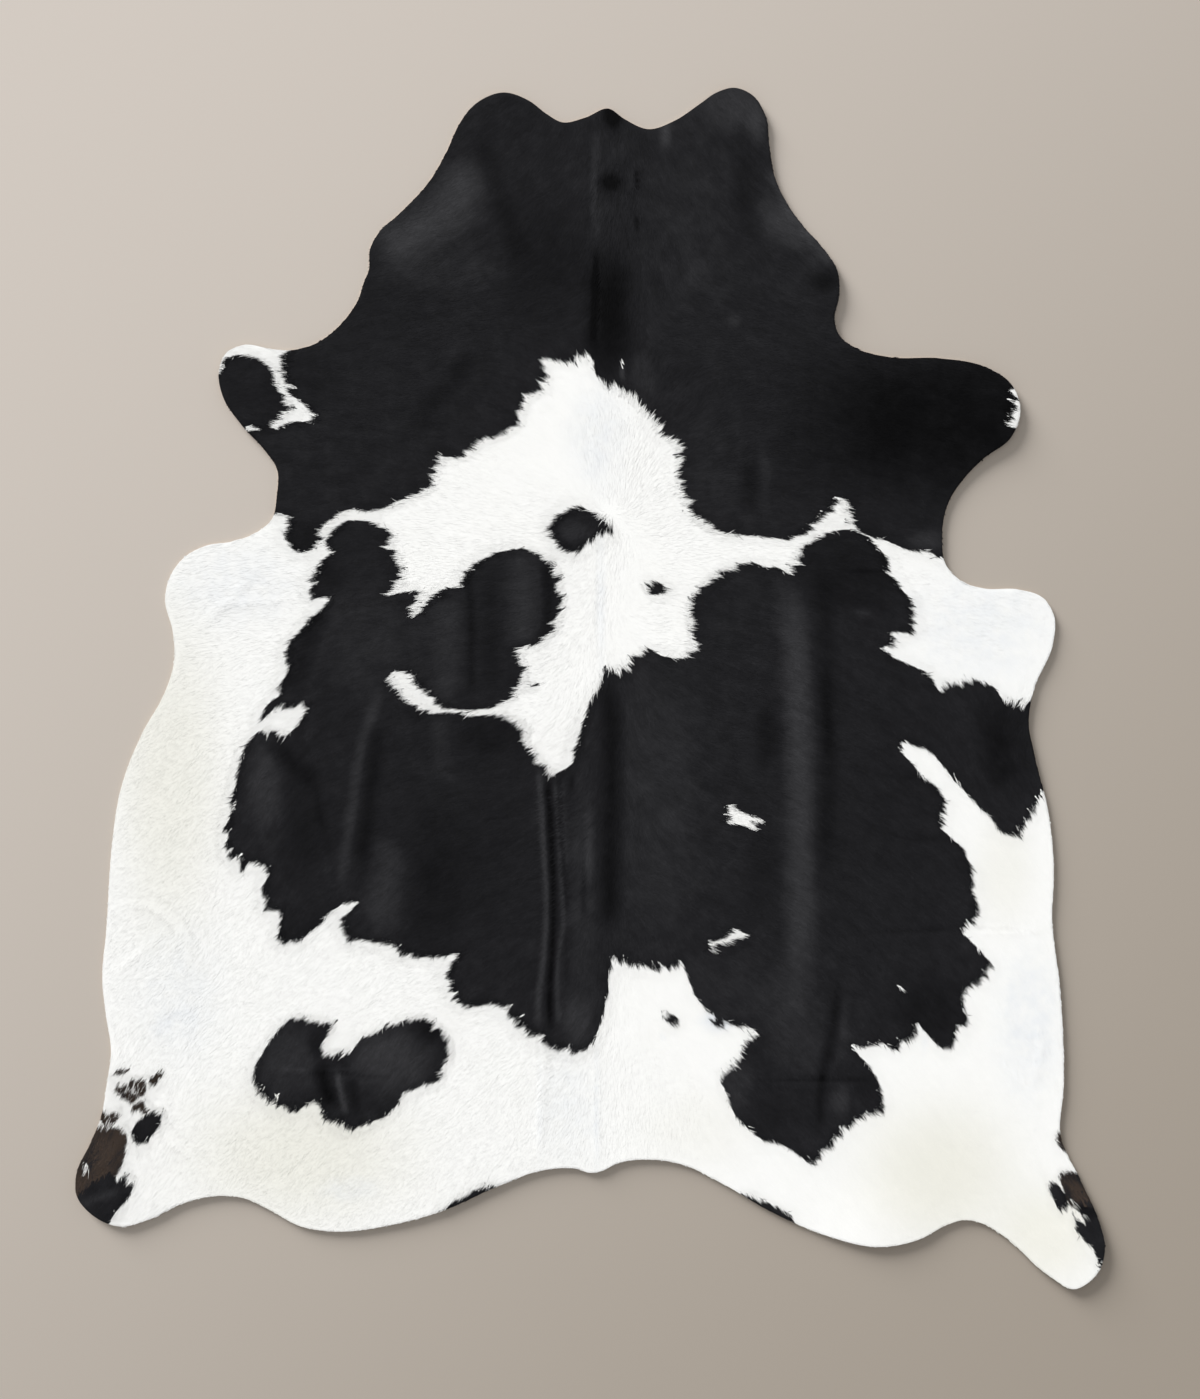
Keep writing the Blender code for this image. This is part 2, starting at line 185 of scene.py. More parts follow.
# Where the hair is black: each patch's border, as (x, y) in millimetres, through the middle of
# its hair spikes. A border runs on past the cut edge, or under its neighbour, where it meets one.
BLACK_PATCHES = {
    "neck": (
        (-574, 305), (-551, 304), (-530, 305), (-523, 298), (-528, 283), (-530, 269),
        (-525, 253), (-516, 241), (-504, 237), (-492, 242), (-480, 251), (-467, 262),
        (-471, 274), (-466, 286), (-453, 295), (-439, 305), (-424, 314), (-399, 312),
        (-368, 314), (-346, 321), (-329, 330), (-298, 340), (-280, 349), (-273, 365),
        (-270, 381), (-261, 395), (-262, 403), (-242, 405), (-222, 403), (-208, 414),
        (-194, 428), (-175, 437), (-154, 442), (-136, 454), (-122, 463), (-121, 484),
        (-112, 503), (-94, 514), (-77, 526), (-72, 545), (-79, 561), (-74, 573), (-52, 568),
        (-37, 566), (-21, 575), (0, 582), (7, 568), (14, 542), (28, 531), (52, 522), (70, 510),
        (88, 493), (105, 482), (116, 463), (130, 444), (150, 430), (159, 414), (156, 388),
        (158, 351), (170, 319), (184, 300), (198, 288), (217, 276), (254, 269), (298, 267),
        (345, 263), (373, 274), (394, 291), (413, 307), (424, 312), (425, 335), (439, 332),
        (452, 316), (457, 295), (469, 279), (494, 265), (522, 258), (551, 246), (588, 242),
        (620, 225), (691, 225), (858, 382), (822, 610), (542, 662), (508, 855), (420, 1117),
        (-298, 1117), (-455, 767), (-476, 641), (-518, 601), (-528, 589), (-534, 573),
        (-537, 557), (-528, 538), (-520, 514), (-506, 500), (-489, 489), (-480, 474),
        (-494, 468), (-522, 466), (-548, 458), (-574, 454), (-612, 449), (-630, 417),
    ),
    "left foreleg": (
        (-674, 540), (-651, 550), (-646, 568), (-626, 580), (-600, 585), (-574, 575),
        (-556, 557), (-548, 533), (-534, 510), (-530, 494), (-542, 475), (-558, 461),
        (-553, 442), (-595, 435), (-656, 479),
    ),
    "withers spot": (
        (-66, 286), (-60, 297), (-47, 304), (-32, 312), (-18, 316), (0, 312), (14, 305),
        (24, 293), (40, 279), (21, 272), (7, 265), (-4, 255), (-18, 244), (-33, 241),
        (-47, 246), (-58, 258), (-65, 272),
    ),
    "withers fleck": (
        (96, 178), (105, 188), (119, 186), (130, 178), (122, 167), (108, 165),
    ),
    "chest fleck": (
        (-103, 4), (-96, 8), (-88, 6), (-96, 3),
    ),
    "left shoulder": (
        (-464, 260), (-453, 269), (-443, 281), (-429, 293), (-402, 295), (-382, 293),
        (-360, 283), (-348, 274), (-348, 260), (-355, 246), (-340, 241), (-334, 221),
        (-329, 202), (-336, 185), (-354, 165), (-326, 169), (-298, 171), (-301, 155),
        (-313, 141), (-308, 125), (-262, 15), (-402, -73), (-504, -27), (-522, -32),
        (-537, -32), (-542, -18), (-541, 1), (-534, 20), (-525, 41), (-528, 57), (-530, 71),
        (-522, 83), (-504, 102), (-488, 120), (-472, 136), (-455, 155), (-462, 160),
        (-481, 160), (-488, 172), (-490, 185), (-481, 199), (-471, 213), (-469, 223),
        (-455, 232), (-455, 244),
    ),
    "withers lobe": (
        (-308, 125), (-298, 132), (-289, 143), (-278, 155), (-262, 167), (-245, 176),
        (-226, 178), (-220, 192), (-208, 211), (-182, 228), (-158, 239), (-133, 244),
        (-112, 244), (-88, 235), (-66, 218), (-54, 200), (-56, 179), (-49, 158), (-52, 132),
        (-60, 109), (-70, 92), (-86, 81), (-116, 71), (-124, 57), (-114, 39), (-116, 20),
        (-122, 1), (-138, -17), (-158, -27), (-184, -38), (-245, -41), (-298, -27), (-350, 50),
    ),
    "left body": (
        (-522, 15), (-438, 85), (-332, 67), (-262, -31), (-224, -43), (-192, -45), (-152, -46),
        (-135, -53), (-117, -64), (-107, -76), (-114, -90), (-105, -106), (-93, -122),
        (-79, -136), (-65, -148), (-42, -139), (-30, -130), (-24, -106), (-16, -80), (-12, -59),
        (0, -36), (7, -13), (16, 11), (30, 31), (88, -20), (88, -370), (37, -470), (33, -496),
        (32, -533), (23, -566), (14, -598), (7, -620), (-18, -633), (-42, -631), (-66, -626),
        (-82, -613), (-102, -601), (-122, -584), (-140, -570), (-145, -557), (-172, -552),
        (-201, -554), (-224, -549), (-238, -535), (-247, -514), (-248, -498), (-240, -482),
        (-228, -466), (-257, -468), (-287, -470), (-312, -465), (-336, -456), (-360, -445),
        (-399, -442), (-420, -435), (-429, -419), (-436, -407), (-420, -391), (-410, -374),
        (-430, -377), (-450, -389), (-469, -409), (-490, -426), (-509, -440), (-532, -440),
        (-544, -435), (-544, -416), (-539, -395), (-565, -381), (-570, -363), (-570, -342),
        (-562, -321), (-581, -304), (-597, -304), (-607, -314), (-614, -302), (-628, -288),
        (-637, -269), (-635, -241), (-628, -200), (-618, -160), (-609, -125), (-600, -99),
        (-586, -81), (-579, -59), (-572, -38), (-558, -22), (-541, -10),
    ),
    "right body": (
        (-26, -195), (14, 8), (24, 25), (42, 34), (60, 39), (72, 53), (86, 62), (102, 71),
        (117, 62), (136, 55), (164, 55), (177, 69), (178, 92), (175, 116), (172, 139),
        (180, 158), (196, 181), (217, 199), (245, 211), (270, 220), (285, 221), (308, 213),
        (329, 211), (346, 202), (355, 214), (360, 234), (374, 248), (390, 260), (401, 270),
        (424, 276), (448, 279), (467, 277), (483, 267), (500, 251), (516, 232), (523, 218),
        (520, 206), (534, 190), (546, 172), (558, 157), (564, 134), (565, 108), (550, 99),
        (532, 99), (532, 85), (525, 74), (518, 66), (530, 55), (550, 48), (569, 38), (584, 31),
        (598, 15), (609, -1), (630, -55), (612, -99), (581, -102), (550, -92), (546, -108),
        (562, -129), (579, -148), (597, -162), (609, -179), (620, -200), (618, -214),
        (612, -228), (618, -248), (635, -263), (654, -284), (665, -311), (670, -330),
        (665, -347), (674, -368), (676, -386), (668, -407), (651, -424), (662, -438),
        (676, -451), (688, -465), (700, -480), (695, -498), (677, -512), (658, -524),
        (654, -550), (662, -577), (646, -598), (635, -620), (614, -626), (597, -612),
        (583, -596), (572, -585), (564, -605), (548, -615), (527, -629), (508, -617),
        (486, -629), (462, -631), (474, -645), (488, -661), (500, -680), (509, -703),
        (509, -727), (500, -743), (472, -753), (452, -767), (430, -780), (420, -801),
        (402, -813), (387, -832), (373, -822), (354, -809), (329, -795), (298, -788),
        (276, -769), (256, -748), (243, -727), (236, -703), (226, -682), (234, -668),
        (254, -654), (264, -636), (275, -617), (287, -596), (271, -591), (238, -582),
        (210, -568), (191, -549), (178, -526), (168, -501), (161, -480), (142, -487),
        (116, -489), (88, -482), (56, -477), (33, -470), (-26, -440),
    ),
    "right flank": (
        (586, -55), (612, -3), (623, 11), (644, 13), (668, 15), (690, 11), (707, 3), (721, -15),
        (738, -25), (756, -29), (780, -18), (822, -20), (830, -178), (796, -188), (782, -200),
        (772, -218), (760, -239), (747, -256), (723, -251), (704, -230), (682, -207),
        (662, -186), (640, -164), (621, -139), (602, -116), (581, -102), (556, -94),
    ),
    "left rump": (
        (-537, -587), (-522, -577), (-497, -578), (-472, -582), (-452, -585), (-455, -603),
        (-466, -617), (-467, -629), (-453, -640), (-438, -636), (-420, -638), (-411, -626),
        (-399, -612), (-378, -603), (-357, -594), (-334, -584), (-312, -577), (-289, -577),
        (-268, -589), (-252, -608), (-245, -631), (-247, -650), (-259, -662), (-257, -680),
        (-280, -690), (-308, -701), (-326, -706), (-332, -722), (-345, -736), (-359, -750),
        (-383, -757), (-406, -764), (-429, -767), (-448, -757), (-466, -745), (-472, -732),
        (-476, -722), (-494, -727), (-514, -738), (-530, -732), (-551, -727), (-558, -717),
        (-574, -711), (-584, -694), (-586, -673), (-578, -650), (-567, -627), (-553, -608),
    ),
    "loin fleck": (
        (126, -573), (135, -566), (145, -571), (152, -578), (142, -585), (131, -580),
    ),
    "loin smudge": (
        (208, -577), (220, -573), (233, -582), (229, -592), (217, -587),
    ),
    "left edge": (
        (-263, -914), (-245, -902), (-226, -891), (-210, -881), (-191, -874), (-166, -868),
        (-168, -890), (-206, -914), (-245, -932),
    ),
    "right edge": (
        (262, -884), (286, -887), (303, -894), (319, -904), (335, -910), (348, -918),
        (354, -932), (346, -944), (315, -930), (284, -907),
    ),
    "hock bar": (
        (-803, -784), (-797, -764), (-785, -750), (-772, -741), (-752, -737), (-749, -752),
        (-756, -768), (-766, -781), (-781, -794), (-794, -798),
    ),
    "left hind foot": (
        (-928, -895), (-903, -890), (-875, -869), (-849, -850), (-835, -844), (-828, -857),
        (-812, -851), (-800, -864), (-805, -886), (-819, -902), (-831, -918), (-842, -937),
        (-875, -956), (-924, -930),
    ),
    "right hock": (
        (802, -864), (816, -865), (826, -878), (836, -895), (836, -906), (822, -909),
        (814, -899), (805, -883),
    ),
    "right hind foot": (
        (850, -904), (868, -908), (900, -911), (920, -974), (892, -1018), (885, -996),
        (876, -974), (859, -958), (846, -938), (850, -928), (866, -936), (856, -916),
    ),
}

# White hair inside the black.
WHITE_FLECKS = {
    "body streak": (
        (-354, 17), (-348, 27), (-332, 31), (-315, 29), (-306, 20), (-301, 10), (-287, -3),
        (-275, -15), (-268, -27), (-248, -34), (-210, -37), (-178, -35), (-147, -26),
        (-105, -24), (-102, -66), (-135, -53), (-158, -46), (-192, -43), (-228, -41),
        (-256, -40), (-284, -38), (-301, -29), (-318, -20), (-332, -10), (-341, 4),
    ),
    "left fleck": (
        (-594, -78), (-584, -63), (-570, -52), (-562, -43), (-551, -34), (-536, -32), (-520, -32),
        (-502, -24), (-499, -39), (-506, -57), (-520, -71), (-534, -81), (-550, -76),
        (-567, -73),
    ),
    "star fleck": (
        (236, -234), (246, -228), (242, -213), (243, -203), (256, -211), (274, -220),
        (288, -223), (299, -230), (291, -236), (288, -246), (270, -241), (254, -237),
    ),
    "loin fleck": (
        (208, -451), (220, -440), (236, -435), (240, -424), (250, -420), (263, -429),
        (256, -438), (238, -444), (220, -449),
    ),
    "right speck": (
        (538, -520), (543, -521), (547, -526), (541, -525),
    ),
    "left foot fleck": (
        (-886, -835), (-882, -832), (-879, -836), (-883, -838),
    ),
    "elbow tick": (
        (-602, 458), (-593, 460), (-581, 455), (-593, 452),
    ),
    "foreleg tip": (
        (736, 524), (772, 514), (764, 460), (725, 464), (733, 482), (744, 500),
    ),
}

# Brown hair on the hind legs. Black lies over it.
BROWN_PATCHES = {
    "hock top": (
        (-770, -690), (-772, -683), (-763, -678), (-756, -669), (-749, -678), (-758, -687),
        (-763, -696),
    ),
    "hock tick": (
        (-833, -673), (-821, -669), (-810, -669), (-819, -675),
    ),
    "hock cloud": (
        (-830, -694), (-822, -697), (-818, -692), (-809, -692), (-806, -687), (-793, -684),
        (-779, -686), (-779, -705), (-791, -717), (-802, -723), (-812, -717), (-822, -712),
        (-829, -705),
    ),
    "hock spot": (
        (-803, -738), (-796, -727), (-780, -722), (-779, -732), (-770, -736), (-780, -745),
        (-788, -738),
    ),
    "hock lobe": (
        (-858, -742), (-850, -740), (-846, -744), (-836, -739), (-827, -742), (-827, -755),
        (-837, -766), (-851, -765), (-860, -756),
    ),
    "left hind foot": (
        (-928, -878), (-884, -799), (-866, -767), (-844, -766), (-822, -773), (-810, -787),
        (-812, -804), (-816, -824), (-826, -850), (-842, -866), (-872, -884), (-912, -906),
    ),
    "right edge": (
        (814, -783), (822, -778), (840, -799), (830, -808), (819, -797),
    ),
    "right hind foot": (
        (822, -852), (832, -844), (852, -848), (872, -860), (896, -895), (910, -934),
        (886, -941), (872, -934), (862, -922), (850, -912), (838, -900), (827, -872),
    ),
}

# How the hair lies: (x, y, way), where way is the heading of its tips in degrees, 0 to the
# right and 90 to the head end. It parts along the spine and rises from the withers' crown.
FLOW = {
    "withers crown": (
        (18, 382, 95), (38, 435, 88), (-26, 396, 128), (88, 396, 58), (-52, 330, 165),
        (126, 321, 15), (-9, 470, 105), (114, 461, 45), (61, 514, 105), (149, 426, 20),
        (-79, 505, 150), (-122, 452, 158), (-35, 554, 135), (0, 561, 115),
    ),
    "spine": (
        (24, 251, 270), (23, 155, 270), (35, 41, 270), (32, -125, 268), (28, -300, 268),
        (23, -475, 268), (10, -720, 270),
    ),
    "spine left": (
        (10, -3, 262), (-4, -32, 236), (-26, -99, 205), (-52, -230, 200), (-35, 155, 200),
        (-70, 225, 185), (-35, -370, 215), (-44, -563, 225), (-79, -755, 245),
    ),
    "spine right": (
        (61, 32, 305), (88, 59, 340), (114, 66, 350), (105, 155, 350), (105, -125, 340),
        (105, -335, 335), (88, -545, 310), (88, -738, 290),
    ),
    "left neck": (
        (-262, 382, 168), (-368, 295, 178), (-508, 260, 180), (-210, 592, 190),
        (-332, 785, 205), (-455, 627, 195), (-158, 942, 215), (-262, 1012, 215),
    ),
    "mane": (
        (40, 1012, 268), (18, 855, 262), (61, 767, 275), (35, 645, 270), (-52, 855, 225),
        (-52, 680, 200),
    ),
    "right neck": (
        (175, 1012, 315), (158, 855, 310), (175, 627, 345), (332, 802, 325), (175, 365, 355),
        (298, 330, 355), (420, 295, 350), (472, 435, 350), (420, 610, 345), (542, 251, 335),
    ),
    "right foreleg": (
        (648, 540, 345), (718, 487, 340), (612, 365, 335),
    ),
    "left foreleg": (
        (-612, 566, 185), (-560, 505, 175), (-621, 487, 195), (-508, 496, 165),
    ),
    "left shoulder": (
        (-332, 225, 182), (-332, 155, 185), (-472, 199, 195), (-420, 67, 200), (-210, 155, 185),
        (-70, 137, 182), (-122, 15, 185), (-525, -20, 225), (-595, 172, 200), (-700, 120, 205),
    ),
    "left body": (
        (-192, -160, 190), (-332, -195, 200), (-122, -370, 195), (-262, -440, 205),
        (-420, -318, 218), (-525, -300, 228), (-612, -195, 232), (-420, -90, 208),
        (-192, -563, 210), (-88, -615, 225),
    ),
    "left flank": (
        (-770, 15, 215), (-770, -195, 225), (-735, -423, 232), (-700, -580, 235),
        (-542, -510, 230),
    ),
    "left rump": (
        (-508, -615, 232), (-368, -633, 230), (-298, -720, 228), (-455, -738, 232),
        (-508, -878, 232), (-245, -825, 235), (-630, -738, 233),
    ),
    "left hind leg": (
        (-770, -720, 236), (-840, -808, 240), (-858, -895, 243), (-814, -895, 240),
        (-718, -878, 235),
    ),
    "right shoulder": (
        (192, 172, 350), (298, 155, 348), (175, 85, 352), (455, 155, 340), (542, 155, 335),
        (542, 15, 325), (648, 120, 330), (770, 85, 320),
    ),
    "right body": (
        (262, -55, 345), (262, -230, 345), (262, -423, 338), (402, -125, 338), (402, -335, 332),
        (402, -545, 322), (542, -230, 325), (595, -370, 320), (508, -475, 318),
        (612, -545, 312), (228, -598, 318), (298, -720, 318), (455, -703, 312),
    ),
    "right flank": (
        (630, -20, 315), (682, -3, 300), (760, -31, 245), (691, -125, 308), (735, -230, 312),
        (770, -370, 312), (718, -510, 308), (788, -633, 304),
    ),
    "right rump": (
        (192, -790, 300), (368, -860, 308), (542, -773, 310), (648, -878, 308),
    ),
    "right hind leg": (
        (788, -773, 304), (819, -878, 303), (866, -913, 302), (884, -983, 300),
    ),
}

# Soft changes of colour in the coat: an ellipse's middle, its reach along x and y, how strong
# it is in the middle, and its turn in degrees where it has one.
Wash = namedtuple("Wash", "x y reach_x reach_y amount turn", defaults=(0,))

# Where the white is creamy.
CREAM_WASHES = {
    "left flank": Wash(-738, -151, 96, 289, 0.8),
    "left rump": Wash(-508, -816, 201, 126, 0.9),
    "right rump": Wash(612, -851, 144, 133, 1.0),
    "right flank": Wash(726, -318, 52, 98, 0.5),
    "right hind leg": Wash(800, -960, 90, 90, 0.9),
    "left shoulder edge": Wash(-805, 137, 52, 52, 0.4),
    "tail side": Wash(192, -773, 105, 70, 0.3),
}
# Where the white is a bluish grey, since the skin shows through thinner hair. The thin lines
# along the spine and the tail are painted shade in the furrows of the creases there.
COOL_WASHES = {
    "left side": Wash(-721, -536, 79, 122, 0.35),
    "left smudge": Wash(-726, -589, 49, 28, 0.3),
    "right side": Wash(770, -589, 60, 136, 0.6),
    "left shoulder": Wash(-621, 185, 108, 74, 0.4),
    "right shoulder": Wash(691, 111, 130, 108, 0.5),
    "withers tuft": Wash(12, 440, 55, 100, 0.5),
    "tail": Wash(-35, -738, 60, 94, 0.35),
    "loin halo": Wash(222, -584, 28, 18, 1.0),
    "spine line": Wash(19, 155, 9, 116, 0.5),
    "tail line": Wash(12, -738, 5, 108, 0.5),
    "tail line left": Wash(-88, -738, 5, 105, 0.25),
    "loin speck": Wash(128, -612, 5, 4, 1.0),
    "left hock": Wash(-420, -878, 52, 21, 0.4),
    "right line": Wash(586, -571, 7, 74, 0.5),
}
# Where the black is lighter, over 0, or deeper, under 0: bands along their crests, as folds.
# Most are painted highlight on fold slopes that face the lamp, and painted shade in the
# hollows and on the slopes away from it; the rest are the hair's own lighter and darker
# tones, such as short, worn hair at the neck.
SHEEN_BANDS = {
    "neck left light": Fold(
        70, 0.95, 60, ((-231, 942), (-231, 855), (-277, 816), (-333, 785), (-382, 756))
    ),
    "neck left fold": Fold(30, -0.4, 50, ((-190, 985), (-172, 900), (-150, 840), (-133, 780), (-128, 730))),
    "neck left slant": Fold(30, -0.4, 44, ((-196, 606), (-242, 536), (-284, 491), (-318, 442))),
    "shoulder edge": Fold(30, -0.5, 44, ((-460, 155), (-499, 76), (-525, -20))),
    "lobe left dark": Fold(12, -0.6, 35, ((-213, 216), (-208, 120), (-208, -20))),
    "lobe gap dark": Fold(26, -0.3, 35, ((-172, 225), (-172, 100), (-172, -20))),
    "lobe right dark": Fold(12, -0.7, 26, ((-79, 232), (-72, 155), (-77, 85))),
    "lobe left light": Fold(44, 0.38, 35, ((-254, 169), (-254, 85), (-250, -29))),
    "lobe right light": Fold(44, 0.43, 35, ((-118, 250), (-116, 155), (-120, 70))),
    "flank line": Fold(
        17, 0.5, 52, ((-366, 10), (-385, -55), (-402, -105), (-416, -200), (-430, -300), (-439, -361))
    ),
    "flank line dark": Fold(25, -0.65, 52, ((-368, -45), (-377, -110), (-389, -200), (-402, -325))),
    "flank streak dark": Fold(12, -0.35, 52, ((-486, -150), (-468, -240), (-452, -330))),
    "flank streak light": Fold(12, 0.25, 44, ((-474, -225), (-462, -290), (-455, -345))),
    "flank wedge": Fold(54, 0.5, 50, ((-341, -250), (-350, -310), (-360, -372), (-372, -445))),
    "left bulge slash": Fold(27, -0.55, 40, ((-567, -80), (-521, -134), (-460, -172))),
    "upper strip": Fold(32, 0.3, 35, ((-259, -41), (-259, -178))),
    "spine left bright": Fold(
        8, 0.85, 35, ((-90, -125), (-81, -283), (-76, -370), (-80, -458), (-90, -545), (-92, -600))
    ),
    "spine gap": Fold(
        9, -1.2, 35, ((-75, -146), (-67, -283), (-64, -370), (-66, -458), (-71, -545), (-68, -610))
    ),
    "spine middle bright": Fold(
        7, 0.65, 35, ((-63, -150), (-53, -283), (-48, -370), (-46, -405), (-57, -475), (-54, -600))
    ),
    "spine middle gap": Fold(5, -0.6, 30, ((-54, -146), (-48, -283), (-41, -370), (-40, -400))),
    "spine third bright": Fold(6, 0.35, 35, ((-48, -150), (-42, -283), (-38, -330))),
    "spine short gap": Fold(7, -0.7, 20, ((-32, -140), (-32, -190))),
    "spine right bright": Fold(11, 0.45, 40, ((-4, -195), (-2, -283), (-3, -345))),
    "spine far gap": Fold(6, -0.4, 30, ((-11, -290), (-11, -410))),
    "spine hair": Fold(30, -0.8, 44, ((30, 24), (38, -55), (38, -195), (35, -370), (36, -430))),
    "ridge": Fold(
        42, 0.7, 200, ((343, 270), (360, 67), (366, -108), (369, -283), (368, -458), (362, -590))
    ),
    "ridge foot": Fold(27, -0.42, 105, ((405, 240), (413, 50), (418, -125), (413, -260), (409, -370))),
    "ridge foot deep": Fold(18, -0.3, 52, ((412, 60), (418, -140))),
    "ridge inner": Fold(34, -0.5, 50, ((307, -5), (312, -81), (309, -160))),
    "low line dark": Fold(14, -0.65, 52, ((439, -501), (425, -600), (405, -699), (401, -790))),
    "low line bright": Fold(18, 0.3, 60, ((448, -528), (443, -598), (441, -668))),
    "cross crease": Fold(7, -0.45, 44, ((320, -686), (420, -683), (505, -686))),
    "right wrinkle": Fold(5, -0.5, 44, ((486, -423), (569, -424), (651, -419))),
    "right wrinkle upper": Fold(5, -0.35, 21, ((490, -146), (551, -157), (595, -150))),
    "right wrinkle middle": Fold(5, -0.3, 21, ((516, -251), (569, -265), (621, -258))),
    "shoulder wrinkle": Fold(5, -0.3, 21, ((455, 204), (508, 207), (542, 199))),
    "shoulder wrinkle light": Fold(17, 0.4, 26, ((446, 134), (508, 134))),
    "flank patch dark": Fold(42, -0.5, 45, ((692, 5), (702, -60), (706, -110), (719, -190))),
    "blob dark top": Fold(18, -0.45, 26, ((-488, -596), (-474, -655))),
    "blob dark": Fold(22, -1.0, 26, ((-478, -650), (-466, -690), (-448, -745))),
    "blob bright": Fold(8, 1.1, 18, ((-444, -664), (-437, -708), (-425, -752))),
    "blob dark right": Fold(16, -0.6, 21, ((-420, -676), (-413, -720), (-402, -755))),
    "blob cross": Fold(5, 0.35, 26, ((-564, -661), (-525, -668), (-476, -669))),
    "blob cross dark": Fold(5, -0.4, 26, ((-455, -673), (-385, -678), (-332, -682))),
    "mane left bright": Fold(14, 0.35, 44, ((10, 986), (9, 872), (12, 771))),
    "mane left dark": Fold(10, -0.5, 26, ((12, 778), (7, 697), (4, 589))),
    "mane slit upper": Fold(6, -1.0, 10, ((82, 914), (84, 869))),
    "mane slit lower": Fold(6, -1.0, 10, ((80, 834), (84, 799))),
    "poll streak": Fold(16, 0.8, 21, ((133, 1002), (131, 942))),
    "neck right edge light": Fold(21, 0.6, 26, ((315, 916), (350, 846), (394, 785), (430, 736))),
}

# The same, as washes: painted highlight and painted shade, and the hair's own lighter and
# darker tones.
SHEEN_WASHES = {
    "neck left below": Wash(-245, 732, 122, 38, 0.2),
    "neck left dark": Wash(-74, 746, 77, 96, -0.45),
    "neck left low dark": Wash(-490, 543, 52, 42, -0.25),
    "neck left middle": Wash(-402, 654, 140, 44, -0.1),
    "armpit": Wash(-508, 260, 38, 35, -0.35),
    "fore oval": Wash(-602, 519, 60, 70, -0.12),
    "mane light top": Wash(38, 946, 38, 46, 0.08),
    "mane light low": Wash(38, 825, 42, 46, 0.05),
    "poll knob": Wash(40, 1009, 18, 32, -1.4),
    "mane whorl": Wash(37, 887, 22, 17, -1.3),
    "mane dark": Wash(34, 711, 44, 62, -0.8),
    "mane dark low": Wash(33, 620, 44, 70, -0.9),
    "mane light foot": Wash(96, 543, 23, 60, 0.3, turn=15),
    "mane tick": Wash(56, 556, 5, 16, 1.3),
    "neck right band": Wash(175, 837, 84, 210, 0.1),
    "left foot edge": Wash(-893, -838, 16, 34, -0.25, turn=-38),
    "left foot brown": Wash(-836, -800, 36, 10, 0.25, turn=52),
    "right foot top": Wash(846, -853, 24, 9, -0.55, turn=-15),
    "right foot side": Wash(836, -884, 9, 20, -0.5, turn=28),
    "right foot low": Wash(872, -914, 26, 12, -0.7, turn=-30),
    "left foot streak": Wash(-862, -893, 46, 9, 0.4, turn=20),
    "neck right patch": Wash(189, 729, 28, 28, 0.15),
    "neck right speck": Wash(252, 645, 12, 10, 0.5),
    "right cheek": Wash(254, 1023, 60, 46, 0.55),
    "right cheek edge": Wash(292, 984, 18, 32, 0.6),
    "neck right dark": Wash(273, 872, 26, 84, -0.4),
    "neck right light": Wash(345, 812, 60, 34, 0.75, turn=-40),
    "neck right fold": Wash(410, 713, 32, 18, -0.7),
    "chest light": Wash(192, 382, 105, 105, 0.1),
    "chest dark": Wash(280, 361, 18, 46, -0.6),
    "chest light right": Wash(304, 382, 14, 52, 0.25),
    "foreleg": Wash(656, 470, 201, 166, -0.95),
    "foreleg start": Wash(442, 465, 125, 140, -0.5),
    "elbow corner": Wash(592, 258, 46, 21, 0.5),
    "left body shoulder": Wash(-395, 85, 105, 105, 0.22),
    "left body centre": Wash(-200, -290, 100, 160, -0.18),
    "shoulder lobe left": Wash(-458, 199, 32, 35, -0.4),
    "left body upper dark": Wash(-180, -85, 60, 38, -0.45),
    "left body lower dark": Wash(-280, -344, 56, 140, -0.4),
    "left bulge": Wash(-572, -169, 33, 91, 0.6),
    "left bulge dark": Wash(-514, -139, 49, 52, -0.2),
    "left bulge dark low": Wash(-494, -251, 42, 70, -0.4),
    "left foot dark": Wash(-511, -414, 46, 32, -0.25),
    "spine end": Wash(-23, -584, 28, 52, 0.6),
    "spine field": Wash(-12, -335, 28, 192, 0.3),
    "right of spine": Wash(119, -195, 77, 262, 0.26),
    "body dark strip": Wash(301, -318, 28, 88, -0.3),
    "right lobe": Wash(455, 199, 105, 79, -0.5),
    "right field": Wash(542, -195, 140, 298, -0.15),
    "flank patch side": Wash(742, -108, 35, 88, -0.4),
    "right low dark": Wash(595, -563, 74, 63, -0.5),
    "low field": Wash(271, -528, 88, 79, 0.15),
    "low light": Wash(359, -590, 50, 90, 0.3),
    "low spot": Wash(439, -722, 18, 23, 0.6),
    "low dark": Wash(486, -694, 28, 35, -0.35),
    "low base": Wash(341, -746, 70, 49, -0.15),
    "rump left": Wash(254, -694, 34, 60, 0.35),
    "rump middle": Wash(312, -722, 46, 50, -0.15),
    "blob light": Wash(-350, -650, 70, 60, 0.75),
    "blob left": Wash(-530, -650, 60, 66, 0.4),
    "blob right dark": Wash(-284, -598, 28, 21, -0.6),
    "withers spot light": Wash(-26, 277, 24, 21, 0.3),
}

# Where the hair is longer and stands up more.
LONG_WASHES = {
    "mane": Wash(44, 802, 44, 240, 1.0),
    "withers crown": Wash(30, 390, 75, 95, 0.7),
    "spine": Wash(28, -230, 26, 290, 0.5),
}
# Where white hairs grow among the dark ones.
MIXED_WASHES = {
    "hock cloud": Wash(-803, -703, 24, 16, 0.22),
    "hock lobe": Wash(-842, -752, 16, 12, 0.12),
    "left hind foot": Wash(-880, -833, 8, 6, 0.3),
    "mane foot": Wash(58, 553, 5, 16, 0.14),
    "right hind foot": Wash(850, -905, 7, 20, 0.15, turn=40),
    "loin fleck": Wash(212, -452, 14, 7, 0.2, turn=25),
}

# From here on lengths are in millimetres and turns in degrees, but where a comment says so.

